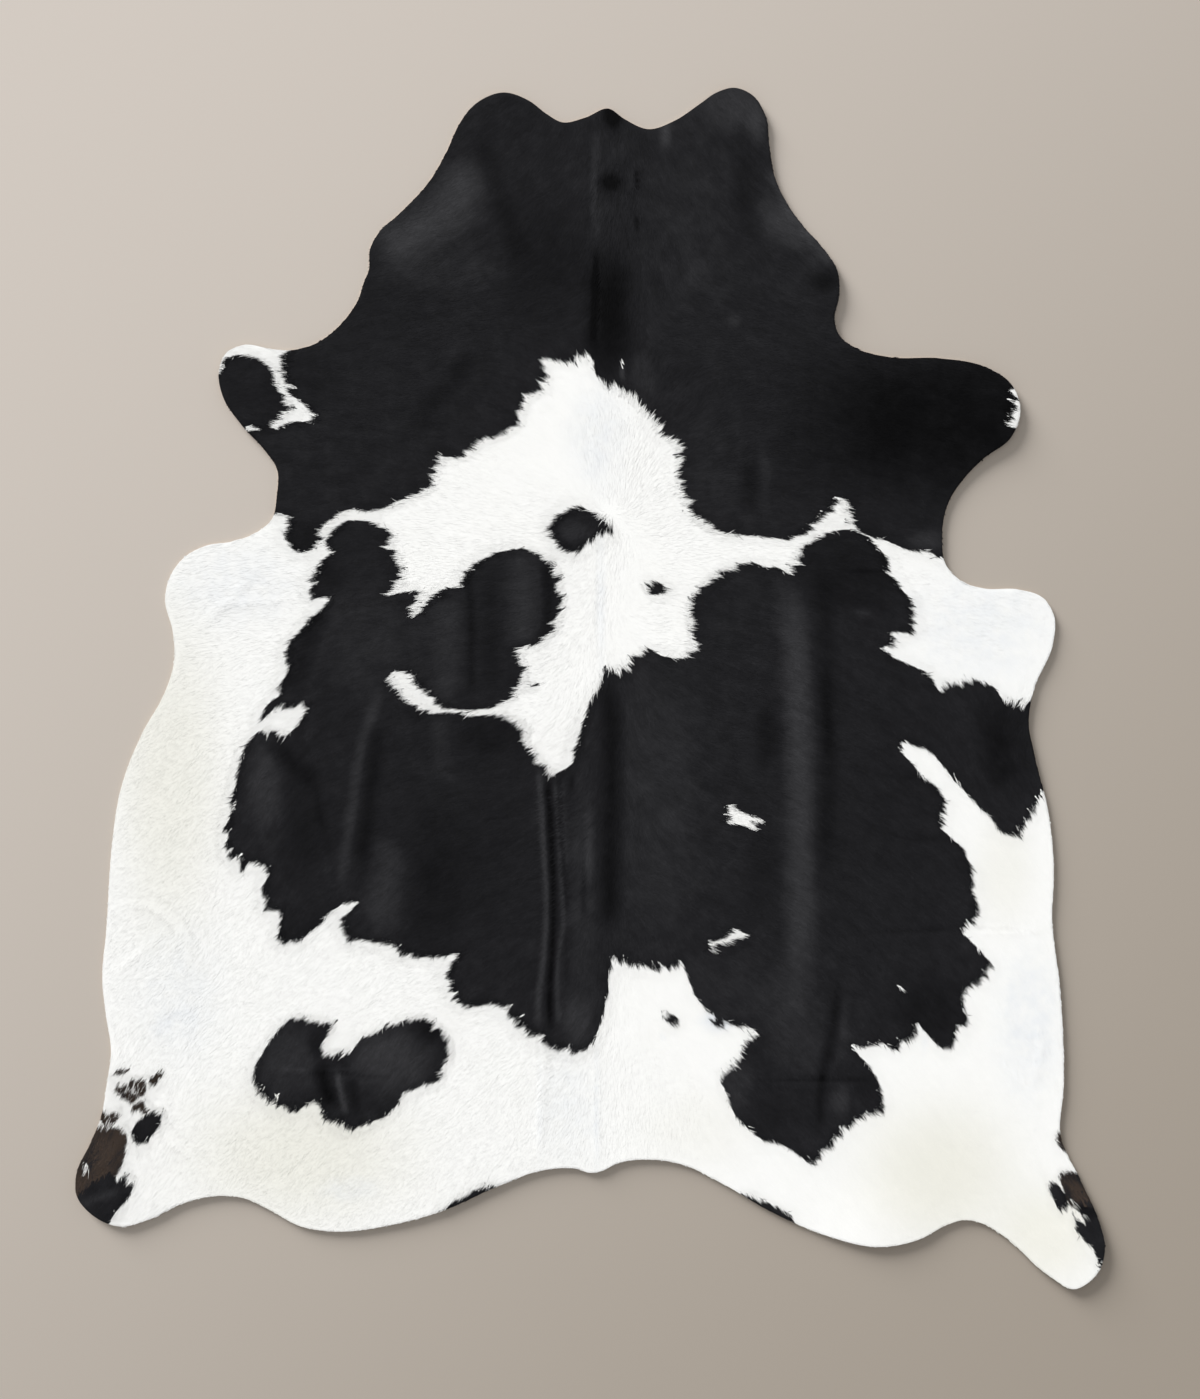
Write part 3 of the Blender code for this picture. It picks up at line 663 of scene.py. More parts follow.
# The sheet's points.
EDGE_STEP = 5.0  # between points along the cut edge
FOLD_STEP = 34.0  # between points along a fold's crest
FOLD_REACH = 120.0  # from a fold's bounding box, past which it raises nothing
BORDER_STEP = 2.0  # between points along a patch's border
TOP_STEP = 7.0  # between points of the coat's bed
TOP_LEVEL = 0.93  # of the broad edge field, from which the bed has points of its own
UNDER_STEP = 17.0  # between points of the underside
UNDER_LEVEL = 0.97  # as for the bed
SAME_POINT = 1e-4  # nearer than this, two points are one
SHARP_TURN = 60.0  # between two faces, past which the edge between them is shaded sharp

BED, UNDERSIDE, EDGE = 0, 1, 2  # the hide's material slots

# How the bed of the coat rounds off at the cut edge: how far a ring of points lies inside
# the edge, and its height there as a share of the pile.
RIM = ((0.0, 0.0), (0.5, 0.5), (1.4, 0.74), (3.0, 0.92), (5.5, 1.0))
RIM_STEEPNESS = 5.0  # the same for the locks: how near the edge the bed is up to its height
SHOWN_FOLD = 0.35  # of a fold's height that shows through the coat, which evens it out
SHOWN_SLOPE = 0.4  # of the coat's slope that the hair lying over it takes
BED_EVENNESS = 0.9  # of the bed's shading that is the hair's over it, or its rim would be bright

# The grids of the fields, and how far some fields are softened.
FINE_STEP = 1.5
MIDDLING_STEP = 3.0
BROAD_STEP = 12.0
EDGE_REACH = 5.0  # the edge field, which is 1 well inside the hide and 0.5 at the cut edge
BROAD_EDGE_REACH = 12.0  # the broad edge field
BED_REACH = 7.0  # the patches' colours on the bed
BORDER_REACH = 22.0  # the dark patches, to tell where a border is near
NEAR_BORDER = (0.04, 0.96)  # the values of that field by a border
WASH_FALL = 1.2  # how fast a wash fades
FLOW_BLEND = 30.0  # how softly the flow's ways mix
FLOW_FALL = 1.6  # how fast a way's weight falls with the distance squared

# The locks of hair. Each stands for some tens of hairs, which are too fine to show alone.
SEED = 7  # of all random values, so that each run gives the same coat
BORDER_WIDTH = 0.38  # of a lock by a border between colours, as a share of the others'
BORDER_SPACING = 0.43  # the same for the distance between the places for a lock
FRAY = 3.8  # how far a border's spikes go past it or stay short of it
FRAY_REACH = 2.5  # about how wide the spikes are
LOCK_FRAY = 2.3  # how far single locks do
BROWN_FRAY = 0.5  # of the spikes' fray that the brown patches have
CROSSING_RISE = 1.4  # how strongly a lock stands up where its tip lies over another colour
PLAIN_RISE = 0.3  # the same for the others
MIXED_WIDTH = 0.6  # of a white lock among dark ones, as a share of the others'
COMB = np.linspace(-0.5, 1.5, 9)  # the places along a lock that its random values are from
STREAK = 0.2  # how much a lock's tone differs with those in line with it
STREAK_REACH = 4.0  # about how wide such a streak is
LOCK_TONE = 0.2  # how much it differs alone
SWIRL_REACH = 22.0  # how wide the coat's soft turns to one side are
SWIRL_TURN = 7.0  # how far they turn
LOCK_SPREAD = 8.0  # from one lock's turn to the next one's
STRAY_SPREAD = 28.0  # the same for a stray one
STRAY_SHARE = 0.05  # of the locks that are stray
SIZE_SPREAD = 0.2  # of a lock's length and width, as a share
LENGTHS = (0.5, 1.6)  # the shortest and longest lock, as shares of the usual one
WIDTHS = (0.6, 1.5)  # the narrowest and widest
LONGER = 0.7  # how much longer a lock is where the hair is long, and how much more it stands up
WIDEST = 0.4  # where along it a lock is widest, as a share of its length
ROOT_RISE = -0.8  # from the bed to a lock's root, which lies in it
MIDDLE_RISE = (0.1, 0.6)  # from the bed to where a lock is widest: lowest and highest
TIP_RISE = (0.0, 0.8)  # the same to its tip
ROLL = 0.08  # how much higher one side of a lock lies
ROOT_LEVEL = 0.55  # of the edge field, for a lock to grow
TRIM_LEVEL = 0.4  # of the edge field, where a lock is cut off
TRIM_SPREAD = 0.1  # from one lock to the next
TRIM_CUTS = 6  # how often a lock that reaches past it is shortened
TRIM_SHARE = 0.78  # of its length that each cut leaves
TRIM_SLACK = 0.1  # how far past it a tip may stay

# Each colour's coat: how much its locks differ in light, which is also how much darker their
# roots are painted as shade, its shine, how much of their shading is that of the bed below,
# and its pieces from the head end to the tail.
Coat = namedtuple("Coat", "light specular evenness pieces")
COATS = {
    "white_hair": Coat(0.03, 0.2, 0.97, ("fore", "middle", "hind")),
    "black_hair": Coat(0.42, 0.04, 0.75, ("fore", "middle", "hind")),
    "brown_hair": Coat(0.7, 0.04, 0.75, ("legs",)),
}

# The lengths of the rug's settings.
Sizes = namedtuple("Sizes", "thickness pile lock_length lock_width lock_spacing")

# The stage, in metres.
FLOOR = 12.0  # half the floor's side
FLOOR_GAP = 0.0002  # so that the floor and the underside aren't one plane
# The floor is painted lighter near the lamp and darker away from it: painted light and shade.
FLOOR_SHADE = (0.333, -0.333, 0.0)  # dot the place: -1 where it is lightest, 1 where darkest
SUN_WAY = -50.0  # where the lamp's light goes, in degrees: to the right and the tail end


def linear(hex_colour):
    """An sRGB hex colour as the linear (red, green, blue) that shaders take."""
    shares = np.array([int(hex_colour[i : i + 2], 16) for i in (1, 3, 5)]) / 255
    return tuple(np.where(shares <= 0.04045, shares / 12.92, ((shares + 0.055) / 1.055) ** 2.4))


# --- Curves and heights of the sheet, as in the CAD's source ---


def smooth_curve(points, step, closed):
    """A smooth curve through the points, as points about a step apart.

    A point's direction is the mean of the two chords that meet there, each weighted by the
    length of the other one, so that a short span beside a long one doesn't overshoot.
    """
    here = np.array(points, float)
    chord = np.roll(here, -1, axis=0) - here
    length = np.linalg.norm(chord, axis=1, keepdims=True)
    slope = chord / length
    length_before = np.roll(length, 1, axis=0)
    slope_before = np.roll(slope, 1, axis=0)
    direction = (slope_before * length + slope * length_before) / (length_before + length)
    spans = len(here)
    if not closed:
        direction[0] = slope[0]
        direction[-1] = slope[-2]
        spans -= 1
    curve = []
    for i in range(spans):
        j = (i + 1) % len(here)
        count = max(1, round(float(length[i, 0]) / step))
        t = (np.arange(count) / count)[:, None]
        curve.append(
            (2 * t**3 - 3 * t**2 + 1) * here[i]
            + (t**3 - 2 * t**2 + t) * length[i] * direction[i]
            + (3 * t**2 - 2 * t**3) * here[j]
            + (t**3 - t**2) * length[i] * direction[j]
        )
    if not closed:
        curve.append(here[-1:])
    return np.concatenate(curve)


def soft(share):
    """1 at share 0, falling to 0 at share 1 and past it, level at both."""
    return 0.5 + 0.5 * np.cos(np.pi * np.clip(share, 0.0, 1.0))


def ridge_height(folds, places):
    """The folds' height at each (x, y), added up.

    A fold's is its height at the crest, falling as a cosine to nothing at its half width
    to each side and over its taper towards each end.
    """
    height = np.zeros(len(places))
    for fold in folds.values():
        crest = smooth_curve(fold.crest, FOLD_STEP, closed=False)
        run = np.linalg.norm(np.diff(crest, axis=0), axis=1)
        start = np.concatenate(([0.0], np.cumsum(run)[:-1]))
        along_span = np.diff(crest, axis=0) / run[:, None]
        reach = np.ptp(crest, axis=0) / 2 + FOLD_REACH
        near = np.flatnonzero((np.abs(places - crest.mean(axis=0)) < reach).all(axis=1))
        offset = places[near, None, :] - crest[None, :-1, :]
        along = np.clip((offset * along_span).sum(axis=2), 0.0, run)
        across = np.linalg.norm(offset - along[..., None] * along_span, axis=2)
        nearest = across.argmin(axis=1)
        rows = np.arange(len(near))
        from_start = (start + along)[rows, nearest]
        from_end = run.sum() - from_start
        from_crest = across[rows, nearest]
        ends = soft(1 - np.minimum(from_start, from_end) / fold.taper)
        height[near] += fold.height * ends * soft(from_crest / fold.half_width)
    return height


def lift_at(places):
    """How far the lifted edges are off the floor at each (x, y)."""
    lift = np.zeros(len(places))
    for spot in LIFTS.values():
        away = np.linalg.norm(places - (spot.x, spot.y), axis=1)
        lift += spot.height * soft(away / spot.radius)
    return lift


def leather_height(places):
    """The height of the sheet's underside at each (x, y)."""
    return lift_at(places) + ridge_height(FOLDS, places)


def coat_height(places):
    """What the folds, the lifts and the finer creases add to the coat's height."""
    folds = SHOWN_FOLD * ridge_height(FOLDS, places)
    return lift_at(places) + folds + ridge_height(CREASES, places)


def cut_edge():
    """The cut edge with the middle of its bounding box at the origin, as in the CAD."""
    corners = [point for stretch in OUTLINE.values() for point in stretch]
    edge = smooth_curve(corners, EDGE_STEP, closed=True)
    return edge - (edge.min(axis=0) + edge.max(axis=0)) / 2


# --- Fields: values on an even grid over the hide ---


class Grid:
    """An even grid of places over the hide, which holds fields and reads them anywhere."""

    REACH = np.array((960.0, 1110.0))  # from the middle to the sides and to the ends

    def __init__(self, step):
        self.step = step
        self.x = np.arange(-self.REACH[0], self.REACH[0] + step, step)
        self.y = np.arange(-self.REACH[1], self.REACH[1] + step, step)
        self.shape = (len(self.y), len(self.x))

    def places(self):
        """Every place of the grid, row by row, as (x, y)."""
        return np.stack(np.meshgrid(self.x, self.y), axis=-1).reshape(-1, 2)

    def read(self, field, places):
        """The field at each place, mixed from the four grid places round it by nearness."""
        before_last = np.array(self.shape)[::-1] - 1.001
        where = np.clip((places + self.REACH) / self.step, 0, before_last)
        column, row = np.floor(where).astype(int).T
        share_x, share_y = (where - np.floor(where)).T
        if field.ndim == 3:
            share_x = share_x[:, None]
            share_y = share_y[:, None]
        low = field[row, column] * (1 - share_x) + field[row, column + 1] * share_x
        high = field[row + 1, column] * (1 - share_x) + field[row + 1, column + 1] * share_x
        return low * (1 - share_y) + high * share_y

    def filled(self, curve):
        """1 at the grid's places inside a closed curve and 0 outside.

        A place is inside where a line to it from the left crosses the curve an odd number
        of times, so each row counts the crossings up to each of its places.
        """
        after = np.roll(curve, -1, axis=0)
        low = np.minimum(curve[:, 1], after[:, 1])
        high = np.maximum(curve[:, 1], after[:, 1])
        row, span = np.nonzero((low <= self.y[:, None]) & (self.y[:, None] < high))
        rise = after[span, 1] - curve[span, 1]
        share = (self.y[row] - curve[span, 1]) / rise
        x = curve[span, 0] + share * (after[span, 0] - curve[span, 0])
        column = np.ceil((x + self.REACH[0]) / self.step).astype(int)
        crossings = np.zeros(self.shape)
        np.add.at(crossings, (row, np.clip(column, 0, self.shape[1] - 1)), 1)
        return np.cumsum(crossings, axis=1) % 2

    def softened(self, field, reach):
        """The field blurred over the reach in millimetres, as three running means a way."""
        half = max(1, round(reach / self.step / 3))
        width = 2 * half + 1
        for axis in (0, 1, 0, 1, 0, 1):
            ends = [(0, 0)] * field.ndim
            ends[axis] = (half + 1, half)
            total = np.cumsum(np.pad(field, ends, mode="edge"), axis=axis)
            count = field.shape[axis]
            upper = np.take(total, np.arange(width, width + count), axis=axis)
            lower = np.take(total, np.arange(0, count), axis=axis)
            field = (upper - lower) / width
        return field


def patches_filled(grid, patches):
    """1 where any of the patches is, on the grid."""
    found = np.zeros(grid.shape)
    for corners in patches.values():
        found = np.maximum(found, grid.filled(smooth_curve(corners, BORDER_STEP, closed=True)))
    return found


def washed(grid, washes):
    """The washes added up on the grid.

    Each is its amount times exp(-WASH_FALL r^3), where r is the distance from its middle as
    a share of its reach.
    """
    places = grid.places()
    total = np.zeros(len(places))
    for wash in washes.values():
        away = places - (wash.x, wash.y)
        turn = np.radians(wash.turn)
        across = (away[:, 0] * np.cos(turn) + away[:, 1] * np.sin(turn)) / wash.reach_x
        along = (away[:, 1] * np.cos(turn) - away[:, 0] * np.sin(turn)) / wash.reach_y
        total += wash.amount * np.exp(-WASH_FALL * (across**2 + along**2) ** 1.5)
    return total.reshape(grid.shape)


def flow_field(grid):
    """The hair's way at each place of the grid, as a unit vector.

    It is the mean of the table's ways, each weighted by 1 / (distance^2 + blend^2)^fall.
    """
    rows = np.array([row for group in FLOW.values() for row in group], float)
    way = np.stack((np.cos(np.radians(rows[:, 2])), np.sin(np.radians(rows[:, 2]))), axis=1)
    places = grid.places()
    away = ((places[:, None, :] - rows[None, :, :2]) ** 2).sum(axis=2)
    weight = 1 / (away + FLOW_BLEND**2) ** FLOW_FALL
    mean = weight @ way
    mean /= np.linalg.norm(mean, axis=1, keepdims=True)
    return mean.reshape(*grid.shape, 2)


class Fields:
    """Everything that the pieces read by place: patches, heights, hair flow and washes."""

    def __init__(self):
        self.fine = Grid(FINE_STEP)
        self.middling = Grid(MIDDLING_STEP)
        self.broad = Grid(BROAD_STEP)
        edge = smooth_curve(cut_edge(), BORDER_STEP, closed=True)
        hide = self.fine.filled(edge)
        self.edge = self.fine.softened(hide, EDGE_REACH)
        self.broad_edge = self.fine.softened(hide, BROAD_EDGE_REACH)
        white = patches_filled(self.fine, WHITE_FLECKS)
        self.black = patches_filled(self.fine, BLACK_PATCHES) * (1 - white)
        self.brown = patches_filled(self.fine, BROWN_PATCHES) * (1 - white)
        self.black_bed = self.fine.softened(self.black, BED_REACH)
        self.brown_bed = self.fine.softened(self.brown, BED_REACH)
        self.dark = np.maximum(self.black, self.brown)
        self.border = self.fine.softened(self.dark, BORDER_REACH)
        places = self.middling.places()
        self.height = coat_height(places).reshape(self.middling.shape)
        self.flow = flow_field(self.broad)
        self.cream = washed(self.middling, CREAM_WASHES)
        self.cool_and_crease_shade = washed(self.middling, COOL_WASHES)
        # The sheen is mostly painted highlight and painted shade on the black's folds.
        self.sheen = washed(self.middling, SHEEN_WASHES)
        self.sheen += ridge_height(SHEEN_BANDS, places).reshape(self.middling.shape)
        self.long = np.clip(washed(self.middling, LONG_WASHES), 0.0, 1.0)
        self.mixed = washed(self.middling, MIXED_WASHES)


@functools.cache
def fields_of_hide():
    """The fields, worked out once for all the operators."""
    return Fields()


# --- Meshes ---


def triangle_mesh(name, places, triangles):
    """A mesh of triangles from arrays of places in metres and of their corners."""
    mesh = bpy.data.meshes.new(name)
    mesh.vertices.add(len(places))
    mesh.vertices.foreach_set("co", np.ascontiguousarray(places, np.float32).ravel())
    mesh.loops.add(triangles.size)
    mesh.loops.foreach_set("vertex_index", np.ascontiguousarray(triangles, np.int32).ravel())
    mesh.polygons.add(len(triangles))
    mesh.polygons.foreach_set("loop_start", np.arange(0, triangles.size, 3, dtype=np.int32))
    mesh.update(calc_edges=True)
    if mesh.validate():
        raise RuntimeError(f"{name} has faces that Blender had to mend")
    return mesh


def give_values(mesh, name, values):
    """An attribute of the mesh's points, for its material."""
    attribute = mesh.attributes.new(name, "FLOAT", "POINT")
    attribute.data.foreach_set("value", np.ascontiguousarray(values, np.float32))


def give_washes(mesh, fields, places):
    """The soft changes of colour as attributes of the mesh's points. The sheen among them is
    mostly painted highlight and painted shade.
    """
    for name in ("cream", "cool_and_crease_shade", "sheen"):
        give_values(mesh, name, fields.middling.read(getattr(fields, name), places))


def give_flat_map(mesh, places):
    """A map that lays the piece out as it is seen from above, for baking its colours."""
    corner = np.empty(len(mesh.loops), np.int32)
    mesh.loops.foreach_get("vertex_index", corner)
    flat = 0.5 + places / (2 * Grid.REACH.max())
    mesh.uv_layers.new(name="OFBake").data.foreach_set("uv", flat[corner].astype(np.float32).ravel())


def add_object(name, mesh, materials):
    """A new object in the scene, with its materials in the mesh's slots."""
    made = bpy.data.objects.new(name, mesh)
    for material in materials:
        mesh.materials.append(material)
    bpy.context.scene.collection.objects.link(made)
    return made


def even_points(step):
    """Points of an even grid of triangles over the whole hide: its rows are as far apart as a
    triangle is high, and every other one is half a step over."""
    row_step = step * np.sqrt(0.75)
    x = np.arange(-Grid.REACH[0], Grid.REACH[0], step)
    y = np.arange(-Grid.REACH[1], Grid.REACH[1], row_step)
    places = np.stack(np.meshgrid(x, y), axis=-1)
    places[1::2, :, 0] += step / 2
    return places.reshape(-1, 2)


def points_inside(fields, step, level):
    """Even points over the hide where the broad edge field is over the level."""
    points = even_points(step)
    return points[fields.fine.read(fields.broad_edge, points) > level]


def filled_ring(ring, inner):
    """Triangles, facing up, that fill a closed ring of points through the points inside it."""
    places = np.concatenate((ring, inner))
    inside_only = 1
    found = delaunay_2d_cdt(
        [Vector(place) for place in places], [], [list(range(len(ring)))], inside_only, SAME_POINT
    )
    if len(found[0]) != len(places):
        raise RuntimeError("points of the hide's fill fall together")
    faces = np.array(found[2])
    corner = places[faces]
    ahead = corner[:, 1] - corner[:, 0]
    aside = corner[:, 2] - corner[:, 0]
    turned = ahead[:, 0] * aside[:, 1] - ahead[:, 1] * aside[:, 0] < 0
    faces[turned] = faces[turned][:, ::-1]
    return faces


def renumbered(faces, count, ring_start, inner_start):
    """The faces of a filled ring of count points, by where its points and the inner ones start."""
    return np.where(faces < count, faces + ring_start, faces - count + inner_start)


def ring_wall(lower, upper, count):
    """Triangles between two rings of count points whose first points have these numbers."""
    here = np.arange(count)
    after = (here + 1) % count
    first = np.stack((lower + here, upper + here, upper + after), axis=1)
    second = np.stack((lower + here, upper + after, lower + after), axis=1)
    return np.concatenate((first, second))


def shade_bed(mesh, fields, flat, slots):
    """Turn the normals of the bed of the coat towards those of the hair that lies over it."""
    normal = np.empty(len(mesh.loops) * 3, np.float32)
    mesh.corner_normals.foreach_get("vector", normal)
    normal = normal.reshape(-1, 3)
    point = np.empty(len(mesh.loops), np.int32)
    mesh.loops.foreach_get("vertex_index", point)
    on_bed = np.repeat(slots == BED, 3)
    hair = bed_normal(fields, flat[point[on_bed]])
    normal[on_bed] = BED_EVENNESS * hair + (1 - BED_EVENNESS) * normal[on_bed]
    normal /= np.linalg.norm(normal, axis=1, keepdims=True)
    mesh.normals_split_custom_set(normal.tolist())


def hide_mesh(fields, sizes):
    """The sheet: its underside, the cut edge, and the bed of the coat that rounds off there.

    Its rings of points go from the edge of the underside up the cut edge and in over the
    rim. The last ring is filled for the top and the first for the underside.
    """
    edge = cut_edge()
    along = np.roll(edge, -1, axis=0) - np.roll(edge, 1, axis=0)
    along /= np.linalg.norm(along, axis=1, keepdims=True)
    inward = np.stack((along[:, 1], -along[:, 0]), axis=1)
    rings = [edge] + [edge + inward * inset for inset, _ in RIM]
    levels = [0.0] + [sizes.thickness + sizes.pile * share for _, share in RIM]
    top = points_inside(fields, TOP_STEP, TOP_LEVEL)
    under = points_inside(fields, UNDER_STEP, UNDER_LEVEL)
    count = len(edge)
    last_ring = count * (len(rings) - 1)
    top_start = last_ring + count
    under_start = top_start + len(top)
    top_faces = renumbered(filled_ring(rings[-1], top), count, last_ring, top_start)
    under_faces = renumbered(filled_ring(edge, under)[:, ::-1], count, 0, under_start)
    walls = [ring_wall(i * count, (i + 1) * count, count) for i in range(len(rings) - 1)]
    flat = np.concatenate((*rings, top, under))
    above = np.repeat((*levels, levels[-1], 0.0), (*[count] * len(rings), len(top), len(under)))
    # The first two rings are the cut edge's, which goes up and down with the leather.
    coated = slice(2 * count, under_start)
    floor_to_sheet = leather_height(flat)
    floor_to_sheet[coated] = coat_height(flat[coated])
    places = np.column_stack((flat, above + floor_to_sheet)) * MM
    mesh = triangle_mesh("hide_sheet", places, np.concatenate((top_faces, *walls, under_faces)))
    slots = np.full(len(mesh.polygons), BED, np.int32)
    first_wall = len(top_faces)
    slots[first_wall : first_wall + len(walls[0])] = EDGE
    slots[len(mesh.polygons) - len(under_faces) :] = UNDERSIDE
    mesh.polygons.foreach_set("material_index", slots)
    mesh.shade_smooth()
    mesh.set_sharp_from_angle(angle=np.radians(SHARP_TURN))
    shade_bed(mesh, fields, flat, slots)
    give_values(mesh, "black", fields.fine.read(fields.black_bed, flat))
    give_values(mesh, "brown", fields.fine.read(fields.brown_bed, flat))
    give_washes(mesh, fields, flat)
    return mesh


# --- Hair ---


class Locks:
    """Locks of hair as arrays: each one's root, way, length and width, how much it rises and
    its tone, from 0 to 1."""

    def __init__(self, root, way, length, width, rise, tone):
        self.root = root
        self.way = way
        self.length = length
        self.width = width
        self.rise = rise
        self.tone = tone

    def at(self, share):
        """The place a share of the way from each root to its tip."""
        return self.root + self.way * (self.length * share)[:, None]

    def chosen(self, which):
        """The locks of these numbers, or where the mask is true."""
        return Locks(*(values[which] for values in vars(self).values()))

    def with_others(self, others):
        """These locks and after them the others."""
        pairs = zip(vars(self).values(), vars(others).values())
        return Locks(*(np.concatenate(pair) for pair in pairs))


def turned(way, angle):
    """Each way turned left by its angle in radians."""
    x = way[:, 0] * np.cos(angle) - way[:, 1] * np.sin(angle)
    y = way[:, 0] * np.sin(angle) + way[:, 1] * np.cos(angle)
    return np.stack((x, y), axis=1)


def patchy(grid, dice, reach):
    """A field of soft random patches of about the reach, with a spread of 1."""
    field = grid.softened(dice.normal(size=grid.shape), reach)
    return field / field.std()


def combed(grid, dice, reach, locks):
    """A random value for each lock with a spread of 1, which locks in one line nearly share:
    the mean of a patchy field along the line from before the lock to past it."""
    field = patchy(grid, dice, reach)
    value = sum(grid.read(field, locks.at(share)) for share in COMB)
    return value / value.std()


def varied(dice, count, limits):
    """Random shares about 1 for the size of each lock, kept within the limits."""
    return np.clip(1 + SIZE_SPREAD * dice.normal(size=count), *limits)


def locks_grown(fields, dice, sizes, by_border):
    """Locks about a spacing apart, by the borders between colours or away from them.

    A lock that would reach past the cut edge is trimmed there, as the hide was with a knife.
    """
    spacing = sizes.lock_spacing * (BORDER_SPACING if by_border else 1.0)
    usual_width = sizes.lock_width * (BORDER_WIDTH if by_border else 1.0)
    x = np.arange(-Grid.REACH[0], Grid.REACH[0], spacing)
    y = np.arange(-Grid.REACH[1], Grid.REACH[1], spacing)
    root = np.stack(np.meshgrid(x, y), axis=-1).reshape(-1, 2)
    root = root + dice.uniform(-0.5, 0.5, root.shape) * spacing
    dark = fields.fine.read(fields.border, root)
    wanted = ((dark > NEAR_BORDER[0]) & (dark < NEAR_BORDER[1])) == by_border
    root = root[wanted & (fields.fine.read(fields.edge, root) > ROOT_LEVEL)]
    count = len(root)
    swirl = fields.middling.read(patchy(fields.middling, dice, SWIRL_REACH), root)
    stray = dice.uniform(size=count) < STRAY_SHARE
    spread = np.where(stray, STRAY_SPREAD, LOCK_SPREAD) * dice.normal(size=count)
    way = turned(fields.broad.read(fields.flow, root), np.radians(SWIRL_TURN * swirl + spread))
    way /= np.linalg.norm(way, axis=1, keepdims=True)
    longer = 1 + LONGER * fields.middling.read(fields.long, root)
    length = sizes.lock_length * varied(dice, count, LENGTHS) * longer
    width = usual_width * varied(dice, count, WIDTHS)
    locks = Locks(root, way, length, width, longer, np.zeros(count))
    trim = TRIM_LEVEL + TRIM_SPREAD * dice.normal(size=count)
    for _ in range(TRIM_CUTS):
        past = fields.fine.read(fields.edge, locks.at(1.0)) < trim
        locks.length = np.where(past, locks.length * TRIM_SHARE, locks.length)
    return locks.chosen(fields.fine.read(fields.edge, locks.at(1.0)) >= trim - TRIM_SLACK)


def locks_by_colour(fields, dice, locks):
    """The locks of each coat, by its name.

    A lock is of the patch that its middle lies in, once the fray has moved that place along
    the lock. Some are white all the same, where the mixed washes say so.
    """
    fray = FRAY * combed(fields.fine, dice, FRAY_REACH, locks)
    fray += LOCK_FRAY * dice.normal(size=len(fray))
    along = locks.way * fray[:, None]
    mixed_in = dice.uniform(size=len(fray)) < fields.middling.read(fields.mixed, locks.root)
    locks.width = np.where(mixed_in, locks.width * MIXED_WIDTH, locks.width)
    black = fields.fine.read(fields.black, locks.at(0.5) + along) > 0.5
    brown = fields.fine.read(fields.brown, locks.at(0.5) + BROWN_FRAY * along) > 0.5
    black &= ~mixed_in
    brown &= ~mixed_in & ~black
    ends_dark = fields.fine.read(fields.dark, locks.at(1.0)) > 0.5
    locks.rise = locks.rise * np.where(ends_dark == (black | brown), PLAIN_RISE, CROSSING_RISE)
    streak = STREAK * combed(fields.fine, dice, STREAK_REACH, locks)
    locks.tone = np.clip(0.5 + streak + LOCK_TONE * dice.normal(size=len(streak)), 0.0, 1.0)
    which = {"white_hair": ~black & ~brown, "black_hair": black, "brown_hair": brown}
    return {name: locks.chosen(chosen) for name, chosen in which.items()}


def bed_height(fields, places, sizes):
    """The height of the coat's bed, which rounds off at the cut edge.

    The pile's share there is s^(1 / steepness), where s goes from 0 at the edge to 1 inside.
    """
    inside = np.clip((fields.fine.read(fields.edge, places) - 0.5) * 2, 0.0, 1.0)
    pile = sizes.pile * inside ** (1 / RIM_STEEPNESS)
    return fields.middling.read(fields.height, places) + sizes.thickness + pile


def bed_normal(fields, places):
    """The upward normal of the hair over the bed, from the slope of its height field."""
    slope_y, slope_x = np.gradient(SHOWN_SLOPE * fields.height, fields.middling.step)
    slope = np.stack((slope_x, slope_y), axis=-1)
    normal = np.column_stack((-fields.middling.read(slope, places), np.ones(len(places))))
    return normal / np.linalg.norm(normal, axis=1, keepdims=True)


def lock_mesh(name, coat, locks, fields, dice, sizes):
    """Locks of one coat as a mesh. A lock is a leaf of two triangles: it rises from its root,
    is widest before its middle, and bends down again to its tip."""
    count = len(locks.root)
    aside = np.stack((-locks.way[:, 1], locks.way[:, 0]), axis=1)
    middle = locks.at(WIDEST)
    half = (locks.width / 2)[:, None]
    flat = np.stack((locks.root, middle + aside * half, middle - aside * half, locks.at(1.0)), axis=1)
    bed = bed_height(fields, flat.reshape(-1, 2), sizes).reshape(count, 4)
    arch = dice.uniform(*MIDDLE_RISE, count) * locks.rise
    roll = dice.normal(0.0, ROLL, count)
    tip = dice.uniform(*TIP_RISE, count) * locks.rise
    rise = np.stack((np.full(count, ROOT_RISE), arch + roll, arch - roll, tip), axis=1)
    places = np.concatenate((flat, (bed + rise)[..., None]), axis=2)
    own = np.cross(places[:, 2] - places[:, 0], places[:, 1] - places[:, 0])
    own /= np.linalg.norm(own, axis=1, keepdims=True)
    shown = coat.evenness * bed_normal(fields, locks.root) + (1 - coat.evenness) * own
    shown /= np.linalg.norm(shown, axis=1, keepdims=True)
    first = np.arange(count)[:, None] * 4
    triangles = np.concatenate((first + (0, 2, 1), first + (1, 2, 3)), axis=1).reshape(-1, 3)
    mesh = triangle_mesh(name, places.reshape(-1, 3) * MM, triangles)
    mesh.shade_smooth()
    mesh.normals_split_custom_set_from_vertices(np.repeat(shown, 4, axis=0).tolist())
    flat = flat.reshape(-1, 2)
    give_washes(mesh, fields, flat)
    give_values(mesh, "tone", np.repeat(locks.tone, 4))
    give_values(mesh, "along", np.tile((0.0, WIDEST, WIDEST, 1.0), count))
    give_flat_map(mesh, flat)
    return mesh


# --- Materials ---


COLOUR_A, COLOUR_B, COLOUR_OUT = 6, 7, 2  # a mix node's sockets for colours


